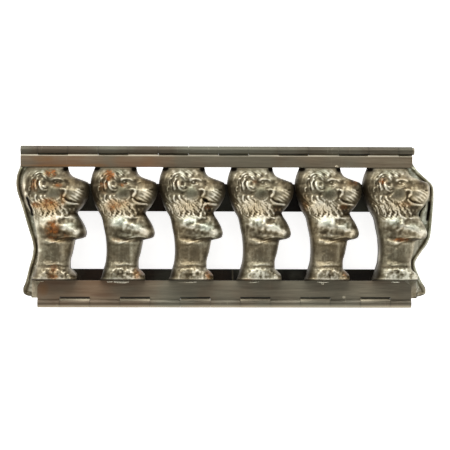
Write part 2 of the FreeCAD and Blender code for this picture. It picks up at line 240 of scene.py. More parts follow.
# Locks of the mane: strength, width and line of pixels, from the crown and ear to the throat
LOCKS_PX = [
    (0.25, 1, [(10.5, 171), (6.8, 177), (5.4, 184)]),
    (0.30, 1, [(14, 177.5), (10.2, 181), (9, 187.5)]),
    (0.30, 1, [(13.4, 184), (12, 188), (13.4, 193)]),
    (0.35, 1, [(4, 184), (3.8, 190), (6.4, 196.5)]),
    (0.75, 0.9, [(6.4, 192.4), (7.6, 197), (11.5, 200.8), (14.6, 205)]),
    (0.60, 0.9, [(9.6, 194.6), (10.8, 198), (13.8, 201)]),
    (0.80, 0.9, [(6.4, 202), (9.1, 206.7), (11.8, 212)]),
    (0.50, 0.8, [(3.6, 196.6), (5.4, 201), (8.2, 208)]),
    (0.70, 0.9, [(9.6, 203.6), (12.4, 208.6), (14.6, 215)]),
    (0.80, 1, [(16.2, 194.6), (15.2, 198.2), (16.4, 201.8), (19.8, 205.4)]),
    (1.10, 1, [(19.8, 194.8), (21.8, 199.6), (25.8, 203.6), (30.4, 206.4)]),
    (1.00, 1, [(23.8, 195.4), (25.6, 198.4), (29.6, 200.6)]),
    (0.90, 1, [(17.8, 199.8), (20.4, 204.8), (22.8, 209.4)]),
    (0.90, 0.9, [(14.6, 203.6), (17.4, 209.2), (19.4, 214.6)]),
    (1.20, 1.5, [(29.8, 205.8), (33, 209), (34.4, 213.2), (37.4, 217), (43.6, 219)]),
    (1.00, 1.1, [(26.6, 207.6), (29.8, 209.6), (30.8, 212.8), (28.8, 216.4)]),
    (1.00, 1.1, [(22, 208.6), (24.8, 210.4), (24.8, 214.4), (22.8, 217.2)]),
    (1.20, 1.3, [(36.6, 205.6), (38.6, 210.2), (41.4, 213.6), (44.6, 216.6)]),
    (1.10, 1.3, [(40.8, 203.4), (42.4, 207.6), (45.2, 211.4), (46.8, 215.8)]),
    (0.90, 1, [(33.6, 203), (35.4, 206), (36.6, 209.4), (36, 211.6)]),
    (0.80, 0.9, [(26.6, 203.6), (28.4, 206.2), (31.2, 208)]),
    (0.80, 0.9, [(18.4, 209.6), (20.6, 212.6), (20.2, 216.8)]),
    (0.70, 0.9, [(39.4, 214.4), (43.2, 217.4), (47.6, 218.4)]),
    (0.70, 0.8, [(31.4, 200.6), (34.4, 202.6), (38.2, 203)]),
]
LOCK_RISE = 0.7
LOCK_FADING = 0.2
# The parting beside a lock: its shift in widths of the lock, then width, depth and fading
PARTING_SHIFT = (1.1, 0.9)
PARTING_WIDTH_PX = 0.6
PARTING_SINK = 0.25
PARTING_FADING = 0.25
CURLS_PX = [
    [(23.2, 209.6), (25.4, 210.4), (25.8, 212.8), (24.2, 214.2)],
    [(34.8, 206.4), (36.8, 208), (36.2, 210.4)],
    [(15.6, 205.2), (18, 206.4), (18.6, 209.4), (16.8, 211.4)],
    [(39.6, 206.6), (41, 209), (40.2, 211.6)],
    [(10.2, 186.4), (8.6, 189.2), (9.4, 192.4)],
    [(15, 179.5), (17.2, 176.8), (21.2, 175.6), (24.6, 177.8), (26.4, 181.2)],
    [(12.6, 178), (15.6, 174.6), (21, 173.4), (25.6, 175.6), (28.2, 179.2)],
]

# Tufts of the fringe on the crown, and the partings under them
FRINGE_PX = [
    [(12, 169.6), (15, 173), (16.4, 177.6)],
    [(19, 169), (23, 173.6), (25.4, 180.4)],
    [(26.6, 168.8), (31, 173.2), (31, 178.4)],
    [(33, 168.8), (37, 172), (39.4, 175.6)],
]
PARTINGS_PX = [
    [(12.2, 175), (13, 179)],
    [(18.8, 173.6), (20.8, 177.4)],
    [(26.4, 172.4), (28.2, 176.8)],
    [(33, 174), (34.6, 178)],
    [(39, 169), (42, 173.4)],
]
MANE_STROKES_PX = [(line, 0.8, 0.5, 0.2) for line in CURLS_PX]
MANE_STROKES_PX += [(line, 2.4, 0.6, 0.3) for line in FRINGE_PX]
MANE_STROKES_PX += [(line, 1.1, -0.35, 0.35) for line in PARTINGS_PX]

# Round forms of the face: place, reach and height
FACE_DOMES_PX = [
    ((23.6, 184.4), (3, 3.2), -0.6),  # hollow of the ear
    ((35.4, 182.6), (4.2, 2.4), -0.1),  # socket of the eye
    ((34.4, 182.7), (1.5, 1.1), 0.45),  # eyeball
    ((37.2, 183.4), (1.4, 0.9), 0.3),  # corner of the eye
    ((55, 195), (10.5, 8.5), 0.5),  # muzzle
    ((63.4, 186.6), (4, 3.6), 0.5),  # nose
]
SNOUT_EDGE_PX = [(38.4, 190.8), (41.4, 189.7), (44.2, 190.4), (45.2, 193), (43.4, 195.6), (41.6, 198.2)]
# Strokes of the face: line, width, height and the share of the line over which an end fades
FACE_STROKES_PX = [
    # Ear
    ([(16.4, 180.4), (17.2, 184.8), (19.4, 190.2)], 0.8, -0.5, 0.2),
    ([(18.2, 178), (15.6, 182), (14.9, 185.8), (16.8, 191)], 0.9, 0.7, 0.16),
    ([(20.2, 180.4), (19.2, 183.4), (19.7, 187), (22.1, 189.9), (25, 191.2), (28, 190)], 0.9, 0.65, 0.16),
    ([(22.6, 186), (24.4, 188.4), (26.4, 187.6)], 0.7, 0.5, 0.16),
    # Brow and eyelids
    ([(29.6, 181.6), (32.4, 180), (36.6, 179.4), (40.6, 180.2), (43.6, 181.6)], 0.8, 0.35, 0.16),
    ([(32.4, 181.3), (36.2, 180.7), (41, 181.6)], 0.55, -0.22, 0.2),
    ([(31.6, 184.9), (35.2, 185.6), (39.4, 184.6)], 0.7, 0.3, 0.16),
    # Cheek, bridge of the nose and nostril
    (SNOUT_EDGE_PX, 1.2, 0.9, 0.16),
    ([(28.4, 197.6), (31.2, 200.4), (35.4, 200.8), (39.2, 198), (40.6, 193.6)], 0.8, 0.3, 0.15),
    ([(46, 182.4), (52, 184), (58.6, 185.6)], 2.2, 0.3, 0.16),
    ([(47.2, 186), (46.2, 189), (47.4, 192)], 1.2, 0.3, 0.16),
    ([(62.6, 189.4), (60.4, 190.6), (58.8, 189.6)], 0.8, -0.5, 0.2),
    # Mouth, lips and chin
    ([(43.2, 197.4), (44.8, 199.8), (47.6, 201.4), (51.6, 202.2)], 0.9, -0.7, 0.25),
    ([(41.4, 198.2), (43.6, 201), (46.6, 203), (50.8, 204.2), (58.4, 204.6)], 0.85, 1, 0.12),
    ([(44, 206.2), (48.4, 207.6), (54.6, 207.6)], 1.5, -0.4, 0.2),
    ([(48, 208), (48.8, 211.4)], 1.1, 0.5, 0.3),
    ([(52.2, 208), (52.4, 211.8)], 1.1, 0.5, 0.3),
    ([(46.6, 212.4), (50.6, 213.6), (55, 212.6)], 1.3, -0.5, 0.2),
]
CHEEK_RISE = 0.25
# Whiskers: strength and line
WHISKERS_PX = [
    (0.6, [(53.4, 189.4), (58, 190.4), (64, 193.4)]),
    (0.9, [(51.6, 190.8), (56.6, 192.4), (60.4, 194.6), (63.4, 196.8)]),
    (1, [(49.6, 192.4), (54.8, 194.6), (58.8, 197.2), (62, 199.2)]),
    (1, [(47.6, 194.6), (52.4, 196.8), (56.4, 199.6), (60.4, 201.4)]),
    (0.8, [(46.6, 196.8), (50.4, 199.4), (54.6, 201.6), (58.6, 202.6)]),
]
WHISKER_WIDTH_PX = 0.62
WHISKER_RISE = 0.52
WHISKER_FADING = 0.35

# Arm, hem and feet
FOREARM_EDGE_PX = [(33, 239.2), (40, 237.6), (47, 236.4), (54, 237), (60, 238.6)]
HEM_PX = [(24, 265), (31, 264.2), (37, 263.4), (44, 264.6)]
TOE_GROOVES_PX = [
    [(46.2, 270.4), (45.2, 275.4), (46, 280)],
    [(27.4, 272.4), (28.4, 279.6)],
    [(22.6, 272.6), (21.8, 279.4)],
    [(37.4, 270.6), (36.6, 279)],
    [(42, 271.4), (41.4, 279.2)],
]
FUR_PX = [
    [(28.6, 266), (27.6, 271)],
    [(32.6, 265.6), (33.2, 269.6)],
    [(36.6, 265.6), (37.6, 270.6)],
    [(41.2, 265.8), (41.6, 271.2)],
    [(45.2, 265.8), (46.6, 271)],
]
KNUCKLES_PX = [(22.6, 239.6), (25.4, 241.6), (28.2, 242.6), (31.2, 241.6)]
BODY_DOMES_PX = [
    ((27.6, 224), (10.5, 9), 0.8),  # shoulder
    ((58.6, 233), (7.5, 5.5), 0.5),  # end of the folded arm
    ((36, 252), (15, 12), 0.2),  # belly
    ((24, 276.4), (7, 6), 0.6),  # feet
    ((38.4, 273.6), (7, 8.5), 0.6),
    ((50.4, 276), (5.6, 5.6), 0.9),
] + [(centre, (2.4, 3.4), 0.06) for centre in KNUCKLES_PX]
BODY_STROKES_PX = [
    # Shoulder and folded arm
    ([(36.2, 216.6), (36.6, 222), (34.6, 227.4), (31, 231.6)], 1.6, 0.5, 0.25),
    ([(23.4, 220.4), (22.2, 228), (25.4, 236.4)], 2.6, 0.4, 0.3),
    ([(33, 224.6), (42, 226.6), (51, 229.6), (60, 233.8)], 4, 0.9, 0.2),
    (FOREARM_EDGE_PX, 0.9, 0.35, 0.2),
    (lowered(FOREARM_EDGE_PX, 1.7), 1, -0.2, 0.2),
    ([(50.4, 236.6), (44, 238.8), (34, 241.8), (23.6, 244.4)], 0.8, 0.32, 0.3),
    # Hem and the cleft between the feet
    (HEM_PX, 0.8, 0.14, 0.2),
    (lowered(HEM_PX, 1.8), 1, -0.12, 0.2),
    ([(32.4, 268.8), (33, 273), (32.8, 280)], 1, -0.7, 0.3),
]
BODY_STROKES_PX += [(line, 0.9, 0.14, 0.3) for line in FUR_PX]
BODY_STROKES_PX += [(line, 0.8, -0.2, 0.3) for line in TOE_GROOVES_PX]
FEET_PX = ((36, 274), (20, 8), 1)
FEET_RAGGED = ((3.4, 3.0, 0.34, 5), (1.6, 1.6, 0.16, 6))


def face_detail(u, v):
    """Ear, eye, brow, muzzle, mouth and chin, in millimetres over the plain form."""
    z = drawn(u, v, FACE_STROKES_PX, FACE_DOMES_PX) + CHEEK_RISE * cheek_patch(u, v, CHEEK_SOFT)
    for strength, points in WHISKERS_PX:
        z += stroke(u, v, points, WHISKER_WIDTH_PX, WHISKER_RISE * strength, WHISKER_FADING)
    return z


def mane_detail(u, v):
    """The mane: wavy locks and curls round ear and cheek, under a fringe of broad tufts."""
    z = drawn(u, v, MANE_STROKES_PX)
    for strength, width, points in LOCKS_PX:
        z += stroke(u, v, points, width, LOCK_RISE * strength, LOCK_FADING)
        parting = [(a + PARTING_SHIFT[0] * width, b + PARTING_SHIFT[1] * width) for a, b in points]
        z += stroke(u, v, parting, PARTING_WIDTH_PX, -PARTING_SINK * strength, PARTING_FADING)
    return z


def body_detail(u, v):
    """Shoulder, folded arm, hem and the ragged fur and feet."""
    z = drawn(u, v, BODY_STROKES_PX, BODY_DOMES_PX)
    feet = dome(u, v, *FEET_PX) ** 0.5
    for across, up, height, seed in FEET_RAGGED:
        z += feet * height * value_noise(u / across, v / up, seed)
    return z


# Large odd numbers that stir the place of a grid corner into an even spread
HASH_X, HASH_Y, HASH_SEED, HASH_STIR = 374761393, 668265263, 974634777, 1274126177
HASH_BITS = 0x7FFFFFFF


def value_noise(x, y, seed):
    """Smooth noise from -1 to 1 with features one unit across."""
    xi, yi = np.floor(x).astype(np.int64), np.floor(y).astype(np.int64)
    tx, ty = x - xi, y - yi
    tx, ty = tx * tx * (3 - 2 * tx), ty * ty * (3 - 2 * ty)

    def corner(i, j):
        h = (i * HASH_X + j * HASH_Y + seed * HASH_SEED) & HASH_BITS
        h = ((h ^ (h >> 13)) * HASH_STIR) & HASH_BITS
        return ((h ^ (h >> 16)) & 0xFFFF) / 32767.5 - 1

    low = corner(xi, yi) * (1 - tx) + corner(xi + 1, yi) * tx
    high = corner(xi, yi + 1) * (1 - tx) + corner(xi + 1, yi + 1) * tx
    return low * (1 - ty) + high * ty


COLUMNS = 110
ROWS = 190
EDGE_POWER = 0.55
CROWN_EDGE_POWER = 1.1
CROWN_EDGE_REACH = 4.5
WALL_SHARE = 0.62
WALL_POWER = 0.8
ROW_EASE = -0.12
SIDE_FADE, END_FADE = 1.25, 1.2


def blur(field, passes):
    """A soft average of a grid with its neighbours."""
    for _ in range(passes):
        padded = np.pad(field, 1, mode="edge")
        field = (padded[1:-1, 1:-1] * 2 + padded[:-2, 1:-1] + padded[2:, 1:-1]
                 + padded[1:-1, :-2] + padded[1:-1, 2:]) / 6
    return field


def over_columns(heights, columns):
    """A grid with the same height all along each row."""
    return heights[:, None] * np.ones((1, columns))


def to_mm(u, v):
    """Pixels of the figure to millimetres from its rearmost point and in the row frame's Y."""
    x = u * WIDTH / SNOUT_PX
    y = SOLE + (SOLE_PX - v) * (CROWN - SOLE) / (SOLE_PX - CROWN_PX)
    return x, y


def section_rise(y, turn):
    """How a section rises from both its edges, more slowly near the crown."""
    near_crown = np.exp(-((CROWN - y[:, :1]) / CROWN_EDGE_REACH) ** 2)
    rise = np.sin(turn).clip(0) ** (EDGE_POWER + (CROWN_EDGE_POWER - EDGE_POWER) * near_crown)
    rise[:, 0] = rise[:, -1] = 0
    return rise


def rounded_ends(y):
    """How the form rounds off to the crown and to the sole."""
    from_crown = np.clip((CROWN - y) / CROWN_ROUND, 0, 1)
    from_sole = np.clip((y - SOLE) / SOLE_ROUND, 0, 1)
    return np.sqrt(1 - (1 - from_crown) ** 2) * np.sqrt(1 - (1 - from_sole) ** 2)


def fullness(up, along):
    """How full the form is at shares of its height and width."""
    full = hermite(FULLNESS_SHARES, up)
    for centre, height, reach_along, reach_up, amount in FORM_SHARES:
        reach = (reach_along * FORM_SPREAD, reach_up * FORM_SPREAD)
        full = full + dome(along, up, (centre, height), reach, amount)
    return full


def figure_form():
    """The pressed form that all shells share, as grids: places, plain depth, detail, its fading and walls."""
    v = over_columns(SOLE_PX + (CROWN_PX - SOLE_PX) * eased(ROWS, ROW_EASE), COLUMNS)
    turn = np.linspace(0, np.pi, COLUMNS)[None, :]
    back, front = hermite(BACK_PX, v[:, :1]), hermite(FRONT_PX, v[:, :1])
    u = (back + front) / 2 - (front - back) / 2 * np.cos(turn)
    x, y = to_mm(u, v)
    rise, ends = section_rise(y, turn), rounded_ends(y)
    up, along = (SOLE_PX - v) / (SOLE_PX - CROWN_PX), u / SNOUT_PX
    plain = (DEPTH - SHEET) * fullness(up, along) * rise * ends
    fade = np.clip(rise * SIDE_FADE, 0, 1) ** 2 * np.clip(ends * END_FADE, 0, 1) ** 2
    detail = (face_detail(u, v) + mane_detail(u, v) + body_detail(u, v)) * fade
    steep = np.clip(1 - np.sin(turn) / WALL_SHARE, 0, 1) ** WALL_POWER * np.ones(u.shape)
    return {"u": u, "v": v, "x": x, "y": y, "plain": plain, "detail": detail, "fade": fade, "steep": steep}


FORM = figure_form()


ROOM = 0.01
ROUNDED_PART = 1.2


def capped(depth):
    """Depth rounded off smoothly under the deepest point of the frame."""
    top = DEPTH - 2 * ROOM
    knee = DEPTH - ROUNDED_PART
    over = np.clip(depth - knee, 0, None)
    return np.where(depth > knee, knee + (top - knee) * (1 - np.exp(-over / (top - knee))), depth)


DENTS_PX = {
    ("front", 3): [((45.6, 201.2), (4.4, 4), -2), ((50.5, 210.5), (3.2, 3), -1)],
    ("front", 1): [((18, 232), (9, 12), -0.7)],
    ("front", 2): [((24, 233), (8, 8), -0.6), ((44, 243), (7, 6), -0.5)],
    ("front", 4): [((22, 246), (7, 10), -0.6)],
    ("front", 5): [((27, 232), (6, 5), -0.7), ((38, 246), (8, 6), -0.4)],
    ("front", 6): [((24, 226), (7, 8), -0.7), ((42, 216), (5, 5), -0.6)],
    ("rear", 2): [((30, 250), (10, 9), -0.9)],
    ("rear", 4): [((40, 232), (8, 8), -0.8)],
    ("rear", 5): [((20, 205), (8, 8), -0.7)],
}
CREASES_PX = {
    ("front", 3): [
        ([(41, 197), (44, 202), (41.5, 209), (38.5, 216)], 0.8, -0.5),
        ([(47.5, 198.5), (48, 205), (52, 211.5)], 0.7, -0.5),
        ([(45.8, 203.5), (43.5, 210), (41, 217)], 0.9, 0.4),
    ],
}
# Unevenness of all the sheet: reach in millimetres, height and number of its noise
UNEVEN = ((7, 0.22, 0), (2.6, 0.15, 40), (1.1, 0.07, 80))
# Where old sheet is most crumpled: place, reach, height in millimetres and coarseness across and up
CRUMPLED_PX = [
    ((38, 225), (26, 13), 0.32, (1.9, 1.9)),
    ((14, 232), (9, 22), 0.16, (1, 5)),
    ((36, 273), (22, 10), 0.30, (1.6, 1.7)),
    ((28, 176), (24, 10), 0.16, (1.8, 1.8)),
]


def relief(side, number):
    """The depth of one shell: the shared form, its own dents and the unevenness of old sheet."""
    f = FORM
    u, v, x, y = f["u"], f["v"], f["x"], f["y"]
    marks = drawn(u, v, CREASES_PX.get((side, number), []), DENTS_PX.get((side, number), []))
    depth = f["plain"] + f["detail"] + marks * f["fade"]
    seed = number + (10 if side == "rear" else 0)
    uneven = sum(height * value_noise(x / reach, y / reach, seed + more) for reach, height, more in UNEVEN)
    for centre, radii, height, coarse in CRUMPLED_PX:
        ragged = value_noise(x / coarse[0], y / coarse[1], seed + 20)
        uneven = uneven + height * ragged * dome(u, v, centre, radii, 1.0) ** 0.5
    return np.clip(capped(depth + uneven * f["fade"]), 0, DEPTH - ROOM)


def grid_normals(x, y, z):
    """Outward unit normals of a grid of points."""
    points = np.stack([x, y, z], axis=-1)
    across = np.gradient(points, axis=1)
    up = np.gradient(points, axis=0)
    normal = np.cross(across, up)
    return normal / np.maximum(np.linalg.norm(normal, axis=-1, keepdims=True), 1e-9)


def grid_faces(rows, columns, start, flipped):
    """Quads over a grid of vertices."""
    i = np.arange(rows * columns).reshape(rows, columns) + start
    quads = np.stack([i[:-1, :-1], i[:-1, 1:], i[1:, 1:], i[1:, :-1]], axis=-1).reshape(-1, 4)
    return quads[:, ::-1] if flipped else quads


def border(rows, columns, start):
    """The vertices round a grid, anticlockwise."""
    i = np.arange(rows * columns).reshape(rows, columns) + start
    return np.concatenate([i[0, :], i[1:, -1], i[-1, -2::-1], i[-2:0:-1, 0]])


# Values painted on the meshes. crest: how bright the tin is, rubbed bright and with painted highlights and
# painted shade. dark: splits and painted shade
PAINTS = ("crest", "rust", "dark", "warm", "hair", "mane")


def points_of(x, y, z):
    """Grids of x, y and z as one grid of points. z may be one height for all."""
    return np.stack(np.broadcast_arrays(x, y, z), axis=-1)


SHARP_ANGLE = math.radians(50)


def put_in_scene(name, data):
    """A new object of the scene."""
    piece = bpy.data.objects.new(name, data)
    bpy.context.scene.collection.objects.link(piece)
    return piece


class Build:
    """Vertices, faces and painted values gathered for one mesh."""

    def __init__(self):
        self.verts, self.faces, self.paint = [], [], []
        self.count = 0

    def add(self, points, flipped, paint):
        """Adds a grid of points with its faces. Paint is one value per point for each name in PAINTS."""
        rows, columns = points.shape[:2]
        values = np.zeros((rows * columns, len(PAINTS)))
        for column, name in enumerate(PAINTS):
            if name in paint:
                values[:, column] = paint[name].reshape(-1)
        self.verts.append(points.reshape(-1, 3).astype(float))
        self.faces.append(grid_faces(rows, columns, self.count, flipped))
        self.paint.append(values)
        edge = border(rows, columns, self.count)
        self.count += rows * columns
        return edge

    def add_closed(self, outer, inner, paint, inner_paint=None):
        """Adds an outer and an inner grid and closes the gap round their edges."""
        near = self.add(outer, False, paint)
        far = self.add(inner, True, inner_paint or paint)
        self.faces.append(np.stack([near, far, np.roll(far, -1), np.roll(near, -1)], axis=-1))

    def object(self, name, mirror_at=None):
        """The mesh object, in metres. mirror_at turns it over to the rear of the parting plane."""
        verts = np.vstack(self.verts)
        faces = np.vstack(self.faces)
        if mirror_at is not None:
            verts = verts * np.array([1, 1, -1]) + np.array([0, 0, mirror_at])
            faces = faces[:, ::-1]
        mesh = bpy.data.meshes.new(name)
        mesh.from_pydata((verts * MM).tolist(), [], faces.tolist())
        mesh.shade_smooth()
        mesh.validate()
        paint = np.vstack(self.paint)
        for column, key in enumerate(PAINTS):
            attribute = mesh.attributes.new(key, "FLOAT", "POINT")
            attribute.data.foreach_set("value", paint[:, column].astype(np.float32))
        mesh.set_sharp_from_angle(angle=SHARP_ANGLE)
        return put_in_scene(name, mesh)


NORMAL_PASSES = 6
# The four sides of a grid and the directions in which they face
SIDES = (np.s_[0], np.s_[-1], np.s_[:, 0], np.s_[:, -1])
OUTWARD = ((0, -1, 0), (0, 1, 0), (-1, 0, 0), (1, 0, 0))


def skins(x, y, z, thickness):
    """A grid of points and the same grid set in by a thickness, level with it round the edge."""
    outer = points_of(x, y, z)
    normal = grid_normals(x, y, blur(z, NORMAL_PASSES))
    rim = np.zeros(x.shape, bool)
    for side, outward in zip(SIDES, OUTWARD):
        rim[side] = True
        normal[side] = outward
    inner = outer - normal * thickness
    inner[..., 2] = np.where(rim, z, np.clip(inner[..., 2], 0, None))
    return outer, inner


# Paint of the shells as soft spots: place, reach and strength
RUST_PX = {
    ("front", 1): [
        ((30, 174), (10, 6), 0.9), ((14, 186), (6, 9), 0.7), ((28, 205), (15, 9), 0.8),
        ((36, 186), (8, 4), 0.7), ((32, 229), (11, 16), 0.85), ((33, 272), (9, 12), 0.85),
        ((42, 236), (10, 5), 0.5), ((15, 206), (8, 5), 0.8), ((42, 199), (5, 9), 0.8),
    ],
    ("front", 2): [
        ((19, 176), (10, 9), 1), ((14, 188), (6, 9), 0.85), ((24, 206), (10, 9), 0.85),
        ((48, 273), (8, 9), 0.75), ((25, 240), (8, 6), 0.3), ((33, 186), (9, 4), 0.3),
        ((36, 203), (7, 6), 0.35),
    ],
    ("front", 3): [((19, 184), (7, 5), 0.45), ((48, 206), (8, 8), 0.35), ((50, 274), (7, 8), 0.6)],
    ("front", 4): [((20, 280), (8, 4), 0.7), ((50, 209), (8, 6), 0.35), ((27, 182), (4, 4), 0.35)],
    ("front", 5): [
        ((56, 183), (9, 6), 0.4), ((46, 207), (8, 7), 0.45), ((49, 275), (8, 8), 0.4),
        ((9, 205), (6, 13), 0.45),
    ],
    ("front", 6): [((18, 181), (7, 5), 0.45), ((36, 239), (13, 3), 0.6), ((40, 204), (12, 5), 0.4)],
    ("rear", 2): [((22, 190), (12, 10), 0.7), ((34, 272), (12, 8), 0.7)],
    ("rear", 3): [((40, 230), (12, 8), 0.6)],
    ("rear", 5): [((18, 205), (9, 14), 0.7), ((30, 250), (8, 10), 0.5)],
}
# Near-black spots in deep dents, in the corner of the mouth and under the chin: painted shade
DARK_PX = {
    ("front", 3): [((45.6, 201.2), (2.4, 3.2), 1), ((50.2, 210.5), (2, 1.8), 0.8)],
    ("front", 5): [((43.6, 200.4), (2.4, 1.5), 0.7), ((48, 210.4), (5, 2.2), 0.6)],
    ("front", 4): [((50.6, 212), (5.5, 1.4), 0.7)],
}
# Painted shadow in the two corners of the crown under the top leaf
BACK_CORNER_PX = ((6.5, 168.6), (7.5, 6), 1.3)
FRONT_CORNER_PX = ((43, 169.4), (5.4, 5.4), 1.3)
CRACK_PX = [(5.2, 196.8), (7.6, 201.5), (8.2, 205), (10.2, 209.5), (10.4, 213), (12.2, 217.6)]
MANE_PX = [((27, 207), (28, 14), 1), ((56, 196), (11, 9), 0.8), ((26, 185), (14, 11), 0.7)]
MUZZLE_PX = ((56, 196), (12, 9), 1)
WAIST_PX = ((30, 252), (30, 14), 1)
BLOTCHED_PX = [((34, 273), (22, 8), 1.6), ((34, 226), (24, 12), 0.7)]
WARM_PX = [
    ((27, 207), (26, 14), 1), ((44, 199), (9, 9), 0.8), ((52, 276), (5, 6), 0.7), ((54, 182), (11, 6), 0.45),
    ((50, 214), (8, 5), 0.6), ((38, 240.5), (13, 3), 0.9),
]
COOL_PX = [
    ((26, 172), (18, 8), 0.8), ((30, 221), (13, 8), 1.3), ((48, 226), (13, 7), 1.1), ((32, 192), (9, 9), 0.9),
]
# Added tones, painted highlights and painted shade as well as lighter or darker tin: first those of every
# figure, then those of single ones on the front
TONE_PX = [
    ((28, 208), (25, 15), 0.42), ((27, 219), (15, 7), 0.16), ((34, 222), (6, 9), 0.16),
    ((26, 173), (18, 6), -0.03), ((48, 226), (14, 8), 0.18), ((33, 251), (22, 14), -0.16),
    ((41.5, 251), (3, 13), 0.14), ((30, 250), (2.4, 12), 0.07), ((62, 236), (6, 6), -0.25),
    ((34, 181.5), (11, 5.5), 0.16), ((37, 177.5), (12, 3.5), -0.24), ((38, 240.5), (12, 2.6), 0.1),
    ((4, 192), (11, 28), -0.26), ((50, 209.5), (7, 4), -0.12), ((25, 274), (7, 7), 0.1),
    ((40, 273), (9, 8), 0.12), ((27, 236), (8, 6), -0.16), ((46, 201), (10, 6), 0.1),
    ((59, 184), (11, 7), -0.34), ((12, 274), (8, 11), -0.42), ((51, 276), (6, 7), -0.12),
    ((28, 185), (34, 20), -0.06),
]
LION_TONE_PX = {
    1: [
        ((30, 185), (32, 22), -0.1), ((35, 273), (22, 10), -0.16), ((36, 230), (26, 12), -0.1),
        ((3.4, 185), (2.6, 9), 0.4), ((5, 194), (2.6, 4), 0.4), ((14.5, 257), (1.8, 13), 0.35),
        ((19, 250), (4, 3), 0.3),
    ],
    2: [((30, 185), (32, 22), -0.08), ((35, 273), (22, 10), -0.14), ((27, 208), (24, 12), 0.05)],
    3: [((30, 185), (32, 22), -0.05), ((24, 171), (13, 6), 0.04)],
    4: [((27, 208), (24, 12), 0.1), ((22, 171), (13, 6), -0.03)],
    5: [((26, 171), (12, 6), 0.06)],
    6: [
        ((27, 207), (26, 14), -0.24), ((24, 171), (16, 6), 0.06), ((27, 252), (18, 14), 0.12),
        ((15.5, 254), (1.8, 10), 0.4),
    ],
}
LION_WARMTH = (1.15, 1.15, 1.05, 0.6, 0.6, 0.35)
CREST = 0.44
# Fine and broad relief: passes of the blur, step that counts as one, and limit
FINE_RELIEF, BROAD_RELIEF = (10, 0.22, 1.6), (60, 0.9, 1.2)
FINE_WEIGHT, BROAD_WEIGHT = 0.26, 0.12
MANE_EXTRA = 0.04
# How much the fine relief fades on the cheek, the muzzle and round the waist
CHEEK_FADES, MUZZLE_FADES, WAIST_FADES = 0.6, 0.3, 0.55
CHEEK_CREST = 0.02
BLOTCH = 0.2
# Painted shadow of the top leaf across the crown, and painted shade along the lowest line of the feet
UNDER_LEAF_PX = 2.2
SOLE_EDGE_PX = 277.5
SOLE_SHADE = 0.6
CROWN_SHADE = 0.3
# Painted shade on the steep walls of the figures, at the back, at the front and more at the head; the
# negative margin value paints light on the walls beside the end margins
BACK_WALL_SHADE = 0.30
FRONT_WALL_SHADE = 0.08
HEAD_WALL_SHADE = 0.25
NECK_PX = 215
MIDDLE_PX = 30
MARGIN_WALL_SHADE = -0.15


# Hair: strands round the ear, and below a height slanting ones
EAR_CENTRE_PX = (22, 184.5)
STRAND_PITCH_PX = 2.6
STRAND_SLANT = math.radians(32)
HAIR_SPLIT_PX = 195.0
# Waves of the strands: height and length below, height and number round the ear, and how far they drift
LOWER_WAVE_PX = (1.9, 3.0)
EAR_WAVE_PX = (0.9, 5)
LOWER_DRIFT_PX, EAR_DRIFT_PX = 1.8, 1.2
LOWER_MANE_PX = [((26, 208), (28, 15), 1.5)]
EAR_MANE_PX = [((13.5, 184), (7, 14), 1.3), ((24, 174.5), (17, 6), 1.1)]


def hair_paint(u, v):
    """Fine strands: a count that rises by one from strand to strand, and how strongly they show."""
    du, dv = u - EAR_CENTRE_PX[0], v - EAR_CENTRE_PX[1]
    drift = value_noise(u / 7, v / 7, 33)
    along = u * math.sin(STRAND_SLANT) + v * math.cos(STRAND_SLANT)
    across = u * math.cos(STRAND_SLANT) - v * math.sin(STRAND_SLANT)
    height, length = LOWER_WAVE_PX
    across = across + height * np.sin(along / length + LOWER_DRIFT_PX * drift) + LOWER_DRIFT_PX * drift
    height, waves = EAR_WAVE_PX
    round_ear = np.hypot(du, dv) + height * np.sin(np.arctan2(dv, -du) * waves + drift) + EAR_DRIFT_PX * drift
    below = v > HAIR_SPLIT_PX
    hair = np.where(below, across, round_ear) / STRAND_PITCH_PX
    apart = np.clip(np.abs(v - HAIR_SPLIT_PX) / 4, 0, 1)
    strength = np.where(below, spots(u, v, LOWER_MANE_PX), spots(u, v, EAR_MANE_PX))
    patchy = 0.75 + 0.35 * value_noise(u / 4, v / 4, 35)
    return hair, np.clip(strength * apart * patchy, 0, 1) * (1 - cheek_patch(u, v, CHEEK_SOFT))


def standing_out(depth, passes, step, limit):
    """How far each place stands out of its surroundings, in steps."""
    return np.clip((depth - blur(depth, passes)) / step, -limit, limit)


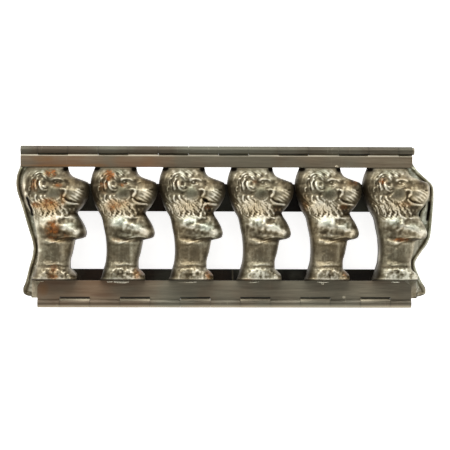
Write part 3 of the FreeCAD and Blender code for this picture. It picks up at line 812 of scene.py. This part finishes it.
def crest_paint(number, depth, tones):
    """How bright each place of a shell is: rubbed bright on the crests and dark in the hollows, with painted
    highlights and painted shade.
    """
    u, v = FORM["u"], FORM["v"]
    fine = standing_out(depth, *FINE_RELIEF) * (FINE_WEIGHT + MANE_EXTRA * spots(u, v, MANE_PX))
    broad = BROAD_WEIGHT * standing_out(depth, *BROAD_RELIEF)
    cheek = cheek_patch(u, v, CHEEK_PAINT_SOFT)
    fine = fine * (1 - CHEEK_FADES * cheek) * (1 - MUZZLE_FADES * dome(u, v, *MUZZLE_PX))
    fine = fine * (1 - WAIST_FADES * dome(u, v, *WAIST_PX))
    # Painted shadow of the top leaf across the crown
    under_leaf = CROWN_SHADE * np.exp(-(((v - CROWN_PX) / UNDER_LEAF_PX) ** 2))
    # Painted shade on the steep walls, and painted light on a wall beside an end margin
    back_shade = MARGIN_WALL_SHADE if number == 1 else BACK_WALL_SHADE
    front_shade = FRONT_WALL_SHADE + HEAD_WALL_SHADE * falling((v - NECK_PX) / 2)
    if number == FIGURES:
        front_shade = MARGIN_WALL_SHADE
    wall = FORM["steep"] * np.where(u < MIDDLE_PX, back_shade, front_shade)
    crest = CREST + fine + broad * (1 - cheek) + CHEEK_CREST * cheek + drawn(u, v, [], tones)
    # The crest darkened by painted shade on the walls, under the top leaf and along the sole edge
    crest = crest - wall - under_leaf - SOLE_SHADE * sole_edge(v)
    ragged = value_noise(u / 3.2, v / 2.4, number + 50) + 0.7 * value_noise(u / 1.5, v / 1.3, number + 51)
    return np.clip(crest + BLOTCH * ragged * spots(u, v, BLOTCHED_PX), 0, 1)


def sole_edge(v):
    """The lowest line of the feet, where they meet the leaf."""
    return np.clip((v - SOLE_EDGE_PX) / 1.2, 0, 1)


def dark_paint(side, number):
    """Where a shell is split, and painted shade under the leaves, along the sole, in deep dents and under the
    chin.
    """
    u, v = FORM["u"], FORM["v"]
    corners = [BACK_CORNER_PX] * (number != 1) + [FRONT_CORNER_PX] * (number != FIGURES)
    dark = np.clip(spots(u, v, DARK_PX.get((side, number), []) + corners), 0, 1)
    # Painted shade along the lowest line of the feet
    dark = np.maximum(dark, SOLE_SHADE * sole_edge(v))
    if (side, number) == ("front", 1):
        dark = np.maximum(dark, np.clip(stroke(u, v, CRACK_PX, 1.35, 1.6, 0.1), 0, 1))
    return dark


def shell_paint(side, number, depth):
    """Where the sheet is rubbed bright or painted with highlights and shade, where rust sits, and where it is
    split or painted dark with shade.
    """
    u, v = FORM["u"], FORM["v"]
    tones = TONE_PX + (LION_TONE_PX[number] if side == "front" else [])
    mottle = 0.5 + 0.5 * value_noise(FORM["x"] / 3, FORM["y"] / 3, number + 7)
    rust = spots(u, v, RUST_PX.get((side, number), [])) * (0.55 + 0.9 * mottle)
    hair, strands = hair_paint(u, v)
    return {
        "crest": crest_paint(number, depth, tones),
        "rust": np.clip(rust, 0, 1),
        "dark": dark_paint(side, number),
        "warm": LION_WARMTH[number - 1] * spots(u, v, WARM_PX) - spots(u, v, COOL_PX),
        "hair": hair,
        "mane": strands,
    }


TAB_CREST = 0.52
END_TAB_CREST = 0.68
TAB_LAP = 0.2
TAB_COLUMNS = 3
TAB_ROWS = 13
# Painted shade along the seam where a figure rises from its tab
SEAM_SHADE = 0.35
SEAM_REACH = 0.8
# Tabs: the end of the figure's outline that they go on from, and their low, high and seam lines
TABS = ((0, CROWN - TAB_LAP, TAB_TOP, CROWN), (-1, TAB_BOTTOM, SOLE + TAB_LAP, SOLE))


def add_tab(build, left, right, low, high, seam, pale):
    """A flat tab of a shell under a leaf, with painted shade along the seam where the figure rises from it.
    """
    x, y = np.meshgrid(np.linspace(left, right, TAB_COLUMNS), np.linspace(low, high, TAB_ROWS))
    dark = SEAM_SHADE * np.clip(1.3 - np.abs(y - seam) / SEAM_REACH, 0, 1)
    paint = {"crest": np.full(x.shape, pale), "dark": dark}
    build.add_closed(points_of(x, y, SHEET), points_of(x, y, 0), paint)


SOLDER_PX = {
    1: [((17, 281.6), (5, 0.7))],
    2: [((31, 282), (9, 1.2)), ((19, 281.8), (3, 0.8))],
    3: [((31, 282), (6.5, 1))],
    4: [((27, 281.8), (5, 0.9))],
    5: [((28, 281.8), (6.5, 0.8)), ((27.7, 283.4), (1.4, 1.2)), ((41.8, 166), (1.8, 1.1))],
    6: [((33, 281.6), (4, 0.7))],
}
SOLDER_RISE = 0.4
SOLDER_EDGE = 0.02
SOLDER_SUNK = 0.05
SOLDER_COLUMNS = 17


def add_solder(build, centre, radii, seed):
    """A smear of solder from a shell onto the front of a leaf."""
    t = np.linspace(-1, 1, SOLDER_COLUMNS)
    a, b = np.meshgrid(t, t)
    a, b = a * np.sqrt(1 - b * b / 2), b * np.sqrt(1 - a * a / 2)
    ragged = 1 + 0.25 * value_noise(a * 3 + seed, b * 3, seed)
    x, y = to_mm(centre[0] + radii[0] * a * ragged, centre[1] - radii[1] * b * ragged)
    height = SOLDER_RISE * np.sqrt(np.clip(1 - a**2 - b**2, 0, 1)) * (0.8 + 0.3 * value_noise(x, y, seed))
    leaf_front = SHEET + LEAF_THICKNESS
    pale = np.clip(0.75 + 0.2 * value_noise(x * 2, y * 2, seed), 0, 1)
    top, bottom = leaf_front + height - SOLDER_EDGE, leaf_front - SOLDER_SUNK
    build.add_closed(points_of(x, y, top), points_of(x, y, bottom), {"crest": pale})


RIM_WIDTH = 2.0
RIM_RISE = 1.2
MARGIN_ROWS = 220
MARGIN_COLUMNS = 46
MARGIN_LAP_PX = 0.5
# Crest of the margins, how much rust they have and how cool they are
MARGIN_CREST = {1: 0.41, 6: 0.54}
MARGIN_RUST = 0.2
MARGIN_WARMTH = -0.7
BRIGHT_CORNER_PX = ((62.6, 217.6), (2.6, 2.6), 0.6)
# Splits of the margins, and beside the last one a bent tongue of sheet
SPLIT_PX = {
    1: [([(5.2, 197), (7, 203), (9, 209), (10.8, 217.5)], 1.8, 1, 0.15)],
    6: [
        ([(66.4, 198.5), (66.6, 206), (65.6, 213), (64.4, 222)], 1.5, 1, 0.15),
        ([(63.4, 202.6), (60.2, 207), (57.4, 212.6), (57, 218)], 1, 0.9, 0.2),
    ],
}
SPLIT_DEPTH = 0.42
TONGUE_PX = ([(64.2, 203), (61.6, 209), (59.4, 215.6), (60.6, 220.4)], 1.2, 0.5, 0.15)


def margin_places(number):
    """Grids over an end margin from its outer edge in to the figure: u, v, x, y and distance to the edge."""
    edge_px, figure_px, lap = LEFT_EDGE_PX, BACK_PX, MARGIN_LAP_PX
    if number == FIGURES:
        edge_px, figure_px, lap = RIGHT_EDGE_PX, FRONT_PX, -MARGIN_LAP_PX
    low, high = edge_px[0][1], edge_px[-1][1]
    v = np.clip(low + (high - low) * eased(MARGIN_ROWS, 0.06), low, high)
    v = over_columns(v, MARGIN_COLUMNS)
    edge = hermite(edge_px, v[:, :1])
    across = np.linspace(0, 1, MARGIN_COLUMNS)[None, :] ** 1.5
    u = edge + (hermite(figure_px, v[:, :1]) + lap - edge) * across
    x, y = to_mm(u, v)
    y = np.clip(y, TAB_BOTTOM, TAB_TOP)
    distance, _ = distance_to_line(x, y, np.stack(to_mm(*smooth_line(edge_px).T), -1))
    return u, v, x, y, distance


def margin_relief(number, u, v, x, y, distance):
    """The height of a margin over the parting plane, its bead, its unevenness and how it is split."""
    under_top = falling((y - CROWN + 0.2) * 3)
    bead = np.clip(1 - ((distance - RIM_WIDTH / 2) / (RIM_WIDTH * 0.6)) ** 2, 0, 1) ** 0.9 * under_top
    uneven = 0.12 * value_noise(x / 5, y / 5, number + 60) + 0.05 * value_noise(x / 1.4, y / 1.4, number + 61)
    uneven = uneven * np.clip(distance / 3, 0, 1) * under_top
    split = np.max([stroke(u, v, *row) for row in SPLIT_PX[number]], axis=0)
    z = SHEET + RIM_RISE * bead + np.clip(uneven, -0.3, 0.3) - SPLIT_DEPTH * split
    if number == FIGURES:
        z = z + stroke(u, v, *TONGUE_PX)
    beside_leaves = (y < CROWN + 1.5) & (y > SOLE - 8.5)
    return np.clip(z, 0.06, np.where(beside_leaves, np.inf, SHEET)), bead, uneven, split


def margin_crest(number, u, v, x, y, distance, bead, uneven):
    """How bright each place of a margin is: rubbed flecks, a brighter bead, painted shade at the inner foot
    of the bead, and on the first margin darker below the line of the soles.
    """
    flecks = np.clip(value_noise(x / 0.9, y / 0.9, number + 90) - 0.45, 0, 1)
    # Painted shade in the groove at the inner foot of the bead
    foot = np.exp(-((distance - RIM_WIDTH * 1.15) / 0.5) ** 2)
    flat = np.clip(distance - RIM_WIDTH * 1.3, 0, 1)
    crest = np.clip(MARGIN_CREST[number] + 0.2 * flat - 0.1 * foot + 1.5 * uneven + 1.3 * flecks * flat, 0, 1)
    crest = np.clip(crest + 0.14 * bead, 0, 1)
    if number == FIGURES:
        return np.clip(crest + dome(u, v, *BRIGHT_CORNER_PX), 0, 1)
    return crest - 0.2 * falling((y - SOLE + 1.0) * 1.5)


def add_margin(build, number):
    """The flat margin outside an end figure, with a turned-up rim along its outer edge."""
    u, v, x, y, distance = margin_places(number)
    z, bead, uneven, split = margin_relief(number, u, v, x, y, distance)
    paint = {
        "crest": margin_crest(number, u, v, x, y, distance, bead, uneven),
        "rust": MARGIN_RUST * np.clip(0.1 + 0.4 * value_noise(x / 4, y / 9, number + 3), 0, 1),
        "warm": np.full(x.shape, MARGIN_WARMTH),
        "dark": np.clip(1.5 * split, 0, 1),
    }
    turned = 0 if number == 1 else (0, 1)
    x, y, z = (np.flip(grid, turned) for grid in (x, y, z))
    paint = {name: np.flip(grid, turned) for name, grid in paint.items()}
    back_paint = {**paint, "dark": np.zeros(x.shape)}
    build.add_closed(points_of(x, y, z), points_of(x, y, 0), paint, back_paint)


def lion_piece(side, number):
    """One shell with its tabs and, at the ends of the row, its margin."""
    build = Build()
    depth = relief(side, number)
    build.add_closed(*skins(FORM["x"], FORM["y"], depth, SHEET), shell_paint(side, number, depth))
    at_end = number in (1, FIGURES)
    pale = END_TAB_CREST if at_end else TAB_CREST
    for end, low, high, seam in TABS:
        (left, _), (right, _) = to_mm(*BACK_PX[end]), to_mm(*FRONT_PX[end])
        add_tab(build, left, right, low, high, seam, pale)
    if at_end:
        add_margin(build, number)
    for i, (centre, radii) in enumerate(SOLDER_PX[number]):
        add_solder(build, centre, radii, number * 5 + i)
    shift = np.array([ROW_START + (number - 1) * PITCH, 0, FRONT_PLANE])
    build.verts = [verts + shift for verts in build.verts]
    node = f"{side}_lion_{number}"
    piece = build.object(f"{node}_shell", FRONT_PLANE + REAR_PLANE if side == "rear" else None)
    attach(piece, f"{side}_half")
    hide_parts(node)
    return piece


# Materials

def linear(r, g, b):
    """An sRGB colour from 0 to 255 as the linear colour that a shader takes."""
    values = []
    for c in (r, g, b):
        c = c / 255
        values.append(c / 12.92 if c <= 0.04045 else ((c + 0.055) / 1.055) ** 2.4)
    return (*values, 1.0)


class Shader:
    """A material whose nodes are added one by one."""

    def __init__(self, name):
        self.material = bpy.data.materials.new(name)
        self.material.use_nodes = True
        self.tree = self.material.node_tree
        self.principled = self.tree.nodes["Principled BSDF"]
        self.coordinates = self.add("ShaderNodeTexCoord").outputs["Object"]

    def put(self, socket, value):
        """Links an output to a socket, or sets a constant there."""
        if isinstance(value, bpy.types.NodeSocket):
            self.tree.links.new(value, socket)
        else:
            socket.default_value = value

    def add(self, kind, inputs=None, **settings):
        """A new node with its settings and inputs."""
        node = self.tree.nodes.new(kind)
        for key, value in settings.items():
            setattr(node, key, value)
        for key, value in (inputs or {}).items():
            self.put(node.inputs[key], value)
        return node

    def noise(self, scale, detail, roughness, stretch=(1, 1, 1), offset=(0, 0, 0)):
        """Noise with a scale in features per metre."""
        inputs = {"Vector": self.coordinates, "Scale": stretch, "Location": offset}
        place = self.add("ShaderNodeMapping", inputs).outputs["Vector"]
        inputs = {"Vector": place, "Scale": scale, "Detail": detail, "Roughness": roughness}
        return self.add("ShaderNodeTexNoise", inputs).outputs["Fac"]

    def paint(self, name):
        """A value painted on the mesh."""
        return self.add("ShaderNodeAttribute", attribute_name=name).outputs["Fac"]

    def ramp(self, value, stops):
        """A value to a colour through stops of (place, colour)."""
        node = self.add("ShaderNodeValToRGB", {"Fac": value})
        elements = node.color_ramp.elements
        while len(elements) < len(stops):
            elements.new(0.5)
        for element, (place, colour) in zip(elements, stops):
            element.position = place
            element.color = linear(*colour)
        return node.outputs["Color"]

    def span(self, value, low, high, to_low=0.0, to_high=1.0):
        """A value mapped from one range to another, clamped."""
        inputs = {"Value": value, "From Min": low, "From Max": high, "To Min": to_low, "To Max": to_high}
        return self.add("ShaderNodeMapRange", inputs).outputs["Result"]

    def math(self, operation, a, b=0.0, clamp=False):
        """One step of arithmetic."""
        node = self.add("ShaderNodeMath", {0: a, 1: b}, operation=operation, use_clamp=clamp)
        return node.outputs["Value"]

    def plus(self, a, *others):
        """The sum of values."""
        for b in others:
            a = self.math("ADD", a, b)
        return a

    def times(self, a, *others):
        """The product of values."""
        for b in others:
            a = self.math("MULTIPLY", a, b)
        return a

    def mix(self, factor, a, colour, blend="MIX"):
        """A colour laid over another, as (r, g, b) from 0 to 255 or as an output."""
        colour = linear(*colour) if isinstance(colour, tuple) else colour
        node = self.add("ShaderNodeMix", {0: factor, 6: a, 7: colour}, data_type="RGBA", blend_type=blend)
        return node.outputs[2]

    def bump(self, height, strength, distance, normal=None):
        """A bent normal, over another one where that is given."""
        inputs = {"Height": height, "Strength": strength, "Distance": distance}
        if normal is not None:
            inputs["Normal"] = normal
        return self.add("ShaderNodeBump", inputs).outputs["Normal"]

    def finish(self, **sockets):
        """Fills the sockets of the surface, whose names have _ for a space, and returns the material."""
        for key, value in sockets.items():
            self.put(self.principled.inputs[key.replace("_", " ")], value)
        return self.material


TIN_SHADES = [(0.12, (72, 64, 50)), (0.36, (114, 106, 89)), (0.56, (164, 158, 140)), (0.84, (240, 237, 226))]
RUST_SHADES = [(0.34, (60, 40, 20)), (0.5, (118, 72, 28)), (0.66, (172, 104, 34))]
WARM_TINT, COOL_TINT, RUST_TINT = (255, 234, 196), (216, 234, 234), (226, 186, 134)
SHADE_BLACK = (14, 11, 8)


def tin_wear_and_light(s, crest, cloud, speck):
    """How bright the tin is, rubbed and with painted highlights and painted shade, with mottling and streaks.
    """
    streak = s.noise(300, 3, 0.55, stretch=(1.6, 0.12, 1))
    mottle = s.plus(s.span(cloud, 0.3, 0.7, -0.2, 0.2), s.span(speck, 0.35, 0.65, -0.05, 0.05))
    mottle = s.times(mottle, s.span(crest, 0.35, 0.7, 0.35, 1.0))
    return s.plus(crest, s.plus(mottle, s.span(streak, 0.3, 0.7, -0.05, 0.05)))


def tin_strands(s):
    """The painted strands of hair as a coarse and a fine wave."""
    coarse = s.math("SINE", s.times(s.paint("hair"), 2 * math.pi))
    fine = s.math("SINE", s.times(s.paint("hair"), 4.6 * math.pi))
    return s.times(s.plus(s.times(coarse, 0.75), s.times(fine, 0.45)), s.paint("mane"))


def tin_tint(s, metal):
    """The metal tinted warm or cool."""
    tint = s.noise(38, 3, 0.5, offset=(0.3, 0.1, 0))
    hue = s.plus(s.paint("warm"), s.span(tint, 0.36, 0.64, -0.5, 0.5))
    warm = s.mix(s.span(hue, 0.0, 1.2, 0, 0.8), metal, WARM_TINT, "MULTIPLY")
    return s.mix(s.span(hue, 0.0, -1.2, 0, 0.7), warm, COOL_TINT, "MULTIPLY")


def tin_rust(s, colour, rust):
    """The colour with rust over it, and how much rust shows."""
    grain = s.noise(420, 4, 0.7, offset=(0.1, 0.5, 0.2))
    broken = s.noise(190, 5, 0.65, offset=(0.7, 0.2, 0.4))
    rusted = s.times(rust, s.span(broken, 0.42, 0.62, 0.1, 1.5), s.span(grain, 0.36, 0.6, 0.6, 1.3))
    rusted = s.span(rusted, 0.1, 0.8, 0.0, 0.92)
    stained = s.mix(s.span(rust, 0.0, 0.7, 0.0, 0.75), colour, RUST_TINT, "MULTIPLY")
    return s.mix(rusted, stained, s.ramp(grain, RUST_SHADES)), rusted


def tin_material(name, tone):
    """Old tin plate: bright where it is rubbed or a highlight is painted, brown in the hollows, near black in
    splits and where shade is painted, with rust where it is painted.
    """
    s = Shader(name)
    crest, dark = s.paint("crest"), s.paint("dark")
    cloud, speck = s.noise(70, 5, 0.62), s.noise(900, 3, 0.7)
    strand = tin_strands(s)
    worn_and_lit = s.math("ADD", tin_wear_and_light(s, crest, cloud, speck), s.times(strand, 0.22), clamp=True)
    colour, rusted = tin_rust(s, tin_tint(s, s.ramp(worn_and_lit, TIN_SHADES)), s.paint("rust"))
    # The dark paint in near black with no sheen: painted shade, and splits
    colour = s.mix(1.0, s.mix(dark, colour, SHADE_BLACK), tone, "MULTIPLY")
    metallic = s.times(s.span(rusted, 0, 1, 1.0, 0.35), s.span(dark, 0, 1, 1.0, 0.1))
    metallic = s.times(metallic, s.span(worn_and_lit, 0.6, 1.0, 0.85, 0.35))
    roughness = s.plus(s.span(worn_and_lit, 0.1, 0.85, 0.50, 0.37), s.span(rusted, 0, 1, 0, 0.2))
    roughness = s.plus(roughness, s.span(cloud, 0.3, 0.7, -0.06, 0.08))
    hammer = s.times(s.noise(260, 3, 0.6, offset=(0.4, 0.9, 0.1)), s.span(crest, 0.3, 0.7, 0.3, 1.0))
    pitted = s.bump(cloud, 0.5, 0.0006, s.bump(speck, 0.25, 0.00018))
    normal = s.bump(strand, 0.6, 0.0003, s.bump(hammer, 0.5, 0.0004, pitted))
    s.finish(Specular_IOR_Level=s.span(dark, 0, 1, 0.5, 0.0))
    return s.finish(Base_Color=colour, Metallic=metallic, Roughness=roughness, Normal=normal)


# Marks of the leaves, in millimetres from the middle line of the mould. Lines: height, reach, shade and
# # amount, here painted shade and a painted highlight along the bottom barrel. Stains: place, reach, shade
# and amount
# Colours of painted light on the leaves: shade over the barrels and in the knuckle gaps, light in the crevice
# of the bottom barrel and a highlight along the lip of the top leaf
BARREL_SHADE, SEAM_LINE, GAP_SHADE = (66, 62, 50), (24, 20, 14), (10, 8, 5)
STEEL_RUST, SCRATCHED, COOL_STEEL = (124, 84, 50), (186, 174, 148), (118, 120, 104)
CREVICE_LIGHT, LIP_HIGHLIGHT = (226, 214, 184), (236, 226, 200)
RUST_SHADE, DEEP_RUST, PALE_SHADE = (132, 94, 54), (96, 66, 44), (214, 204, 176)
TOP_MARKS = {
    "seam": TOP_SEAM, "barrel": 0.8, "gap": (47.9, 48.9), "lip": 0.95, "crevice": 0.0, "lines": [],
    "stains": [
        ((-110, 40.4), (26, 1), RUST_SHADE, 0.7), ((-86, 40.6), (9, 1.4), RUST_SHADE, 0.6),
        ((-121, 45), (8, 2.2), RUST_SHADE, 0.5),
    ],
}
BOTTOM_MARKS = {
    "seam": BOTTOM_SEAM, "barrel": 0.3, "gap": (46.4, 47.5), "lip": 0.0, "crevice": 0.9,
    "lines": [(51.0, 0.45, (48, 40, 30), 0.35), (52.9, 0.8, (206, 192, 162), 0.45)],
    "stains": [
        ((-121, -41), (4.5, 6), RUST_SHADE, 0.5), ((-82, -45.4), (11, 2), DEEP_RUST, 0.6),
        ((-110, -38), (12, 2.4), DEEP_RUST, 0.35), ((79, -46.6), (1.1, 0.9), PALE_SHADE, 0.9),
        ((65, -37.2), (0.9, 0.8), PALE_SHADE, 0.8), ((-27, -37.1), (4.6, 0.35), PALE_SHADE, 0.6),
        ((17.5, -37.1), (3, 0.35), PALE_SHADE, 0.5),
    ],
}


def seams(s, colour, x, height, start):
    """Fine dark seams between the knuckles, which follow each other from the start of the row."""
    seam = s.times(s.plus(x, -start * MM), 1 / (KNUCKLE * MM))
    seam = s.math("ABSOLUTE", s.math("SUBTRACT", seam, s.math("ROUND", seam)))
    on_barrel = s.span(height, 47.8 * MM, 48.2 * MM)
    return s.mix(s.times(s.span(seam, 0.010, 0.028, 0.3, 0.0), on_barrel), colour, SEAM_LINE)


def band(s, height, rise, fall, amount):
    """A band along a leaf that comes in over one span of heights and goes out over another."""
    coming = s.span(height, rise[0] * MM, rise[1] * MM, 0, amount)
    return s.times(coming, s.span(height, fall[0] * MM, fall[1] * MM, 1, 0))


def leaf_marks(s, colour, x, y, height, stain, marks):
    """Painted shade in the gaps beside every other knuckle, painted light in the crevices and painted
    highlights along their edges, and the lines of painted shade and highlight and the stains of a leaf.
    """
    low, high = marks["gap"]
    pair = s.times(s.plus(x, -marks["seam"] * MM), 0.5 / (KNUCKLE * MM))
    in_notch = s.span(s.math("FRACT", pair), 0.497, 0.503, 1.0, 0.0)
    # Painted shade in the gaps beside every other knuckle
    gap = band(s, height, (low, low + 0.2), (high - 0.2, high), 0.9)
    colour = s.mix(s.times(gap, in_notch), colour, GAP_SHADE)
    # Painted light in the crevice of the barrel in a gap
    crevice = band(s, height, (high + 0.1, high + 0.2), (high + 1.0, high + 1.8), marks["crevice"])
    colour = s.mix(s.times(crevice, in_notch), colour, CREVICE_LIGHT)
    # Painted highlight along the lip of the leaf under a gap
    lip = band(s, height, (low - 1.1, low - 0.8), (low - 0.1, low), marks["lip"])
    colour = s.mix(lip, colour, LIP_HIGHLIGHT)
    # Lines of painted shade and painted highlight along the barrel
    for line_height, reach, shade, amount in marks["lines"]:
        away = s.times(s.math("ABSOLUTE", s.plus(height, -line_height * MM)), 1 / (reach * MM))
        colour = s.mix(s.span(away, 0.5, 1.2, amount, 0.0), colour, shade)
    for place, reach, shade, amount in marks["stains"]:
        away = s.span(stain, 0.35, 0.65, -0.5, 0.5)
        for along, middle, size in zip((x, y), place, reach):
            step = s.times(s.plus(along, -middle * MM), 1 / (size * MM))
            away = s.plus(away, s.times(step, step))
        colour = s.mix(s.span(away, 0.3, 1.1, amount, 0.0), colour, shade)
    return colour


def steel_material(name, shades, rust_amount, marks=None):
    """Dull old sheet steel with streaks along the leaf, seams, stains and rust."""
    s = Shader(name)
    streak = s.noise(60, 4, 0.6, stretch=(0.25, 3.0, 1))
    fine = s.noise(500, 3, 0.65, stretch=(0.15, 2.0, 1))
    stain = s.noise(22, 4, 0.55, offset=(0.2, 0, 0))
    value = s.plus(s.times(streak, 0.7), s.times(fine, 0.3))
    colour = s.ramp(value, list(zip((0.32, 0.5, 0.68), shades)))
    place = s.add("ShaderNodeSeparateXYZ", {"Vector": s.coordinates})
    x, y = place.outputs["X"], place.outputs["Y"]
    height = s.math("ABSOLUTE", y)
    rusty = s.plus(s.times(s.span(x, 0.06, -0.135), 0.28), stain)
    rusty = s.span(rusty, 0.58, 0.86, 0, rust_amount)
    colour = s.mix(rusty, colour, STEEL_RUST)
    # Painted shade over the knuckle barrels, which dims their sheen
    if marks:
        colour = s.mix(s.span(height, 47.4 * MM, 48.4 * MM, 0.0, marks["barrel"]), colour, BARREL_SHADE)
    colour = seams(s, colour, x, height, marks["seam"] if marks else 0)
    if marks:
        colour = leaf_marks(s, colour, x, y, height, stain, marks)
    scratch = s.span(s.noise(420, 2, 0.6, stretch=(1.0, 0.06, 1), offset=(0.8, 0.3, 0)), 0.66, 0.78, 0, 0.35)
    colour = s.mix(scratch, colour, SCRATCHED)
    colour = s.mix(s.span(stain, 0.52, 0.36, 0, 0.4), colour, COOL_STEEL)
    roughness = s.plus(s.span(value, 0.3, 0.7, 0.5, 0.36), s.span(rusty, 0, 1, 0, 0.2))
    normal = s.bump(fine, 0.3, 0.0002, s.bump(streak, 0.3, 0.0006))
    metallic = s.span(rusty, 0, 1, 0.5, 0.2)
    return s.finish(Base_Color=colour, Metallic=metallic, Roughness=roughness, Normal=normal)


TOP_SHADES = [(100, 86, 68), (124, 110, 89), (150, 137, 114)]
BOTTOM_SHADES = [(103, 95, 79), (129, 121, 102), (158, 148, 126)]
PIN_SHADES = [(90, 80, 66), (128, 118, 98), (180, 170, 148)]
# The straps in near black: painted shade, as they lie deep behind the front shells
STRAP_SHADES = [(20, 17, 13), (32, 27, 21), (46, 40, 31)]
FLOOR_LIFT = 0.8


def floor_material():
    """Plain white ground that still takes the mould's shadow."""
    s = Shader("studio_floor")
    path = s.add("ShaderNodeLightPath").outputs
    seen = s.math("MAXIMUM", path["Is Camera Ray"], path["Is Glossy Ray"])
    lift = s.times(s.math("MAXIMUM", seen, path["Is Transmission Ray"]), FLOOR_LIFT)
    shade = s.span(s.noise(3, 2, 0.5), 0.3, 0.7, 0.86, 0.90)
    return s.finish(Base_Color=shade, Roughness=0.9, Emission_Color=(1, 1, 1, 1), Emission_Strength=lift)


front_tin = tin_material("front_tin", (255, 250, 238))
rear_tin = tin_material("rear_tin", (225, 218, 204))
top_steel = steel_material("top_leaf_steel", TOP_SHADES, 0.75, TOP_MARKS)
bottom_steel = steel_material("bottom_leaf_steel", BOTTOM_SHADES, 0.55, BOTTOM_MARKS)
pin_steel = steel_material("pin_steel", PIN_SHADES, 0.3)
strap_steel = steel_material("strap_steel", STRAP_SHADES, 0.15)

for number in range(1, FIGURES + 1):
    lion_piece("front", number).data.materials.append(front_tin)
    lion_piece("rear", number).data.materials.append(rear_tin)


SOFT_EDGE = 0.12


def dress(node, material):
    """A CAD node that keeps its shape, with a better finish and softened edges."""
    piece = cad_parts[node]
    piece.data.materials.clear()
    piece.data.materials.append(material)
    bevel = piece.modifiers.new("soft_edges", "BEVEL")
    bevel.width = SOFT_EDGE * MM
    bevel.segments = 2
    bevel.harden_normals = True
    bevel.limit_method = "ANGLE"
    bevel.angle_limit = SHARP_ANGLE


for node, material in {
    "front_top_leaf": top_steel,
    "rear_top_leaf": top_steel,
    "front_bottom_leaf": bottom_steel,
    "rear_bottom_leaf": bottom_steel,
    "closing_pin": pin_steel,
    "hinge_pin": pin_steel,
    "rear_head_strap": strap_steel,
    "rear_foot_strap": strap_steel,
}.items():
    dress(node, material)


# Floor, light and camera

FLOOR_HALF = 12.0
FLOOR_HEIGHT = -0.0002


def studio_floor():
    """A wide floor a little under the mould."""
    mesh = bpy.data.meshes.new("studio_floor")
    corners = [(x, y, FLOOR_HEIGHT) for x in (-FLOOR_HALF, FLOOR_HALF) for y in (-FLOOR_HALF, FLOOR_HALF)]
    mesh.from_pydata(corners, [], [(0, 2, 3, 1)])
    mesh.materials.append(floor_material())
    return put_in_scene("studio_floor", mesh)


studio_floor()


def area_light(name, place, size, watts):
    """A soft rectangular lamp that looks at the middle of the mould."""
    data = bpy.data.lights.new(name, "AREA")
    data.shape = "RECTANGLE"
    data.size, data.size_y = size
    data.energy = watts
    lamp = put_in_scene(name, data)
    lamp.location = place
    lamp.rotation_euler = (-Vector(place)).to_track_quat("-Z", "Y").to_euler()


area_light("key", (-0.25, 0.9, 0.75), (1.8, 0.8), 14)
area_light("fill", (0.5, -0.8, 0.8), (0.9, 0.9), 3)

# Light of the surround: place between horizon and zenith, and colour
SURROUND = ((0.05, (1.30, 1.30, 1.28, 1)), (0.95, (0.30, 0.30, 0.30, 1)))
SURROUND_STRENGTH = 0.8


def studio_world():
    """A pale surround at eye level that falls off to a dim ceiling."""
    world = bpy.data.worlds.new("studio")
    bpy.context.scene.world = world
    world.use_nodes = True
    nodes, links = world.node_tree.nodes, world.node_tree.links
    coordinates = nodes.new("ShaderNodeTexCoord")
    split = nodes.new("ShaderNodeSeparateXYZ")
    links.new(coordinates.outputs["Generated"], split.inputs["Vector"])
    ramp = nodes.new("ShaderNodeValToRGB")
    links.new(split.outputs["Z"], ramp.inputs["Fac"])
    for element, (place, colour) in zip(ramp.color_ramp.elements, SURROUND):
        element.position = place
        element.color = colour
    links.new(ramp.outputs["Color"], nodes["Background"].inputs["Color"])
    nodes["Background"].inputs["Strength"].default_value = SURROUND_STRENGTH


studio_world()

CAMERA_DISTANCE = 0.9
CAMERA_YAW = math.radians(1.2)
CAMERA_ROLL = math.radians(-0.15)
CAMERA_TARGET = Vector((-0.0003, 0.0013, 0.01785))
VIEW_WIDTH = 0.2998
SENSOR = 36.0


def set_camera():
    """A long lens square over the mould, a touch to its left."""
    data = bpy.data.cameras.new("camera")
    data.sensor_width = SENSOR
    data.lens = SENSOR * CAMERA_DISTANCE / VIEW_WIDTH
    camera = put_in_scene("camera", data)
    back = Vector((-math.sin(CAMERA_YAW), 0, math.cos(CAMERA_YAW)))
    right = Vector((math.cos(CAMERA_YAW), 0, math.sin(CAMERA_YAW)))
    up = back.cross(right)
    turn = Matrix((right, up, back)).transposed() @ Matrix.Rotation(-CAMERA_ROLL, 3, "Z")
    camera.matrix_world = Matrix.Translation(CAMERA_TARGET + back * CAMERA_DISTANCE) @ turn.to_4x4()
    bpy.context.scene.camera = camera


set_camera()
bpy.context.scene.view_settings.view_transform = "Standard"
